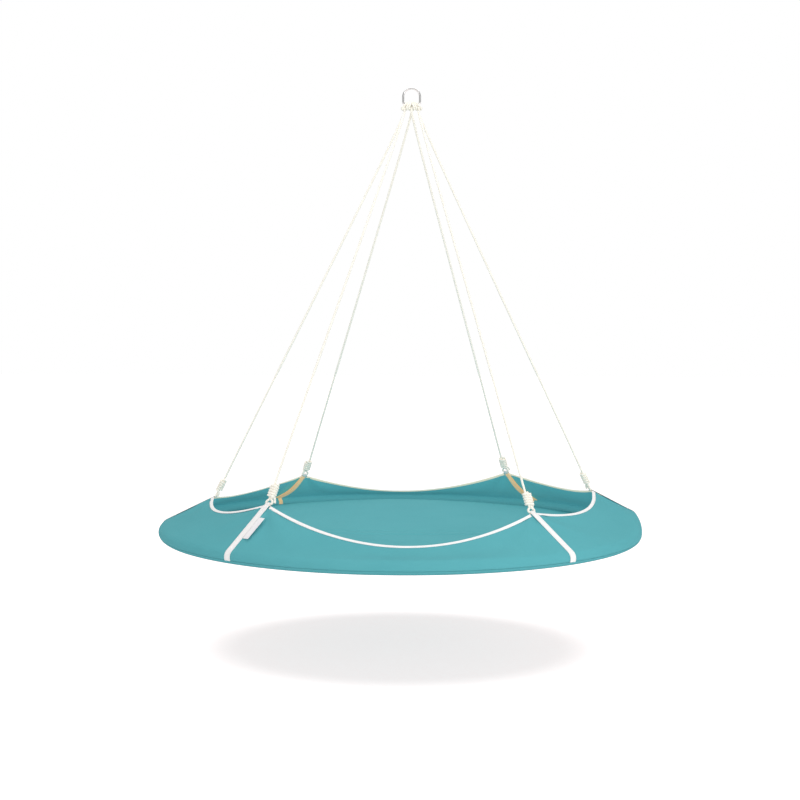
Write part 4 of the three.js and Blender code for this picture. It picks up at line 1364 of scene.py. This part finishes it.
# Studio: a pale floor that keeps the bed's soft shadow, a white surround, one large lamp overhead and two in
# front. To the camera the floor glows, so that it is white beyond the shadow; under the bed the glow is weaker
# inside an ellipse, a painted shadow over the rendered one, and to the camera the floor's colour is tinted.
FLOOR_HEIGHT = -2.151
FLOOR_SIZE = 40
FLOOR_BACK = 20
PAINTED_SHADOW_GLOW = 0.70
SHADOW_HALF = (0.80, 0.635)
SHADOW_BACK = 0.085
SHADOW_FADE = (0.76, 1.12)
SHADOW_TINT = (0.50, 0.34, 0.33)
FLOOR_PALE = (0.9, 0.9, 0.9)
SURROUND = 0.62
LAMP_AIM = Vector((0, 0, -1.55))
LAMPS = (
    ("overhead_lamp", (0.0, 0.1, 1.1), 2.2, 26),
    ("left_lamp", (-2.5, -3.2, -0.9), 2.0, 22),
    ("right_lamp", (2.5, -3.2, -0.9), 2.0, 48),
)

bm = bmesh.new()
centre = Matrix.Translation((0, FLOOR_BACK, FLOOR_HEIGHT))
bmesh.ops.create_grid(bm, x_segments=1, y_segments=1, size=FLOOR_SIZE, matrix=centre)
ground = Finish("pale floor", FLOOR_PALE, 0.9, Specular_IOR_Level=0.0)
kinds = ("Is Camera Ray", "Is Glossy Ray", "Is Transmission Ray")
ray = [ground.add("LightPath", kind) for kind in kinds]
looked_at = ground.math("MAXIMUM", ray[0], ground.math("MAXIMUM", ray[1], ray[2]))
# To the camera the floor's colour is tinted, so that the teal bounce from the bed doesn't colour its shadow.
ground.paint(ground.mix(looked_at, FLOOR_PALE, SHADOW_TINT))
ground.shader.inputs["Emission Color"].default_value = (1, 1, 1, 1)
wide, deep = SHADOW_HALF
place = ground.add("Mapping", Vector=ground.place(), Scale=(1 / wide, 1 / deep, 0),
                   Location=(-BED_PLACE.x / wide, -SHADOW_BACK / deep, 0))
away = ground.add("VectorMath", 1, {"operation": "LENGTH"}, Vector=place)
# The glow is weaker inside an ellipse under the bed: a painted shadow.
glow = ground.add("MapRange", settings={"interpolation_type": "SMOOTHSTEP"}, Value=away,
                  i1=SHADOW_FADE[0], i2=SHADOW_FADE[1], i3=PAINTED_SHADOW_GLOW, i4=1.0)
ground.tree.links.new(ground.math("MULTIPLY", looked_at, glow), ground.shader.inputs["Emission Strength"])
floor = new_piece("floor", bm, ground.material, smooth=False)
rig.stage(floor)

for name, spot, size, energy in LAMPS:
    lamp = scene_object(name, bpy.data.lights.new(name, "AREA"))
    lamp.data.size = size
    lamp.data.energy = energy
    aim = LAMP_AIM - Vector(spot)
    lamp.matrix_world = Matrix.Translation(spot) @ aim.to_track_quat("-Z", "Y").to_matrix().to_4x4()

world = bpy.data.worlds.new("studio")
bpy.context.scene.world = world
world.use_nodes = True
tree = world.node_tree
background = tree.nodes["Background"]
background.inputs["Color"].default_value = (1, 1, 1, 1)
background.inputs["Strength"].default_value = SURROUND
rays = tree.nodes.new("ShaderNodeLightPath")
brighter = tree.nodes.new("ShaderNodeMapRange")
brighter.inputs["To Min"].default_value = SURROUND
brighter.inputs["To Max"].default_value = 1.0
tree.links.new(rays.outputs["Is Camera Ray"], brighter.inputs["Value"])
tree.links.new(brighter.outputs[0], background.inputs["Strength"])

bpy.context.scene.view_settings.view_transform = "Standard"

with open("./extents.json", "w") as sizes:
    json.dump({"cad": [list(corner) for corner in cad_box],
               "visual": [list(corner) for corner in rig.bounds()]}, sizes)
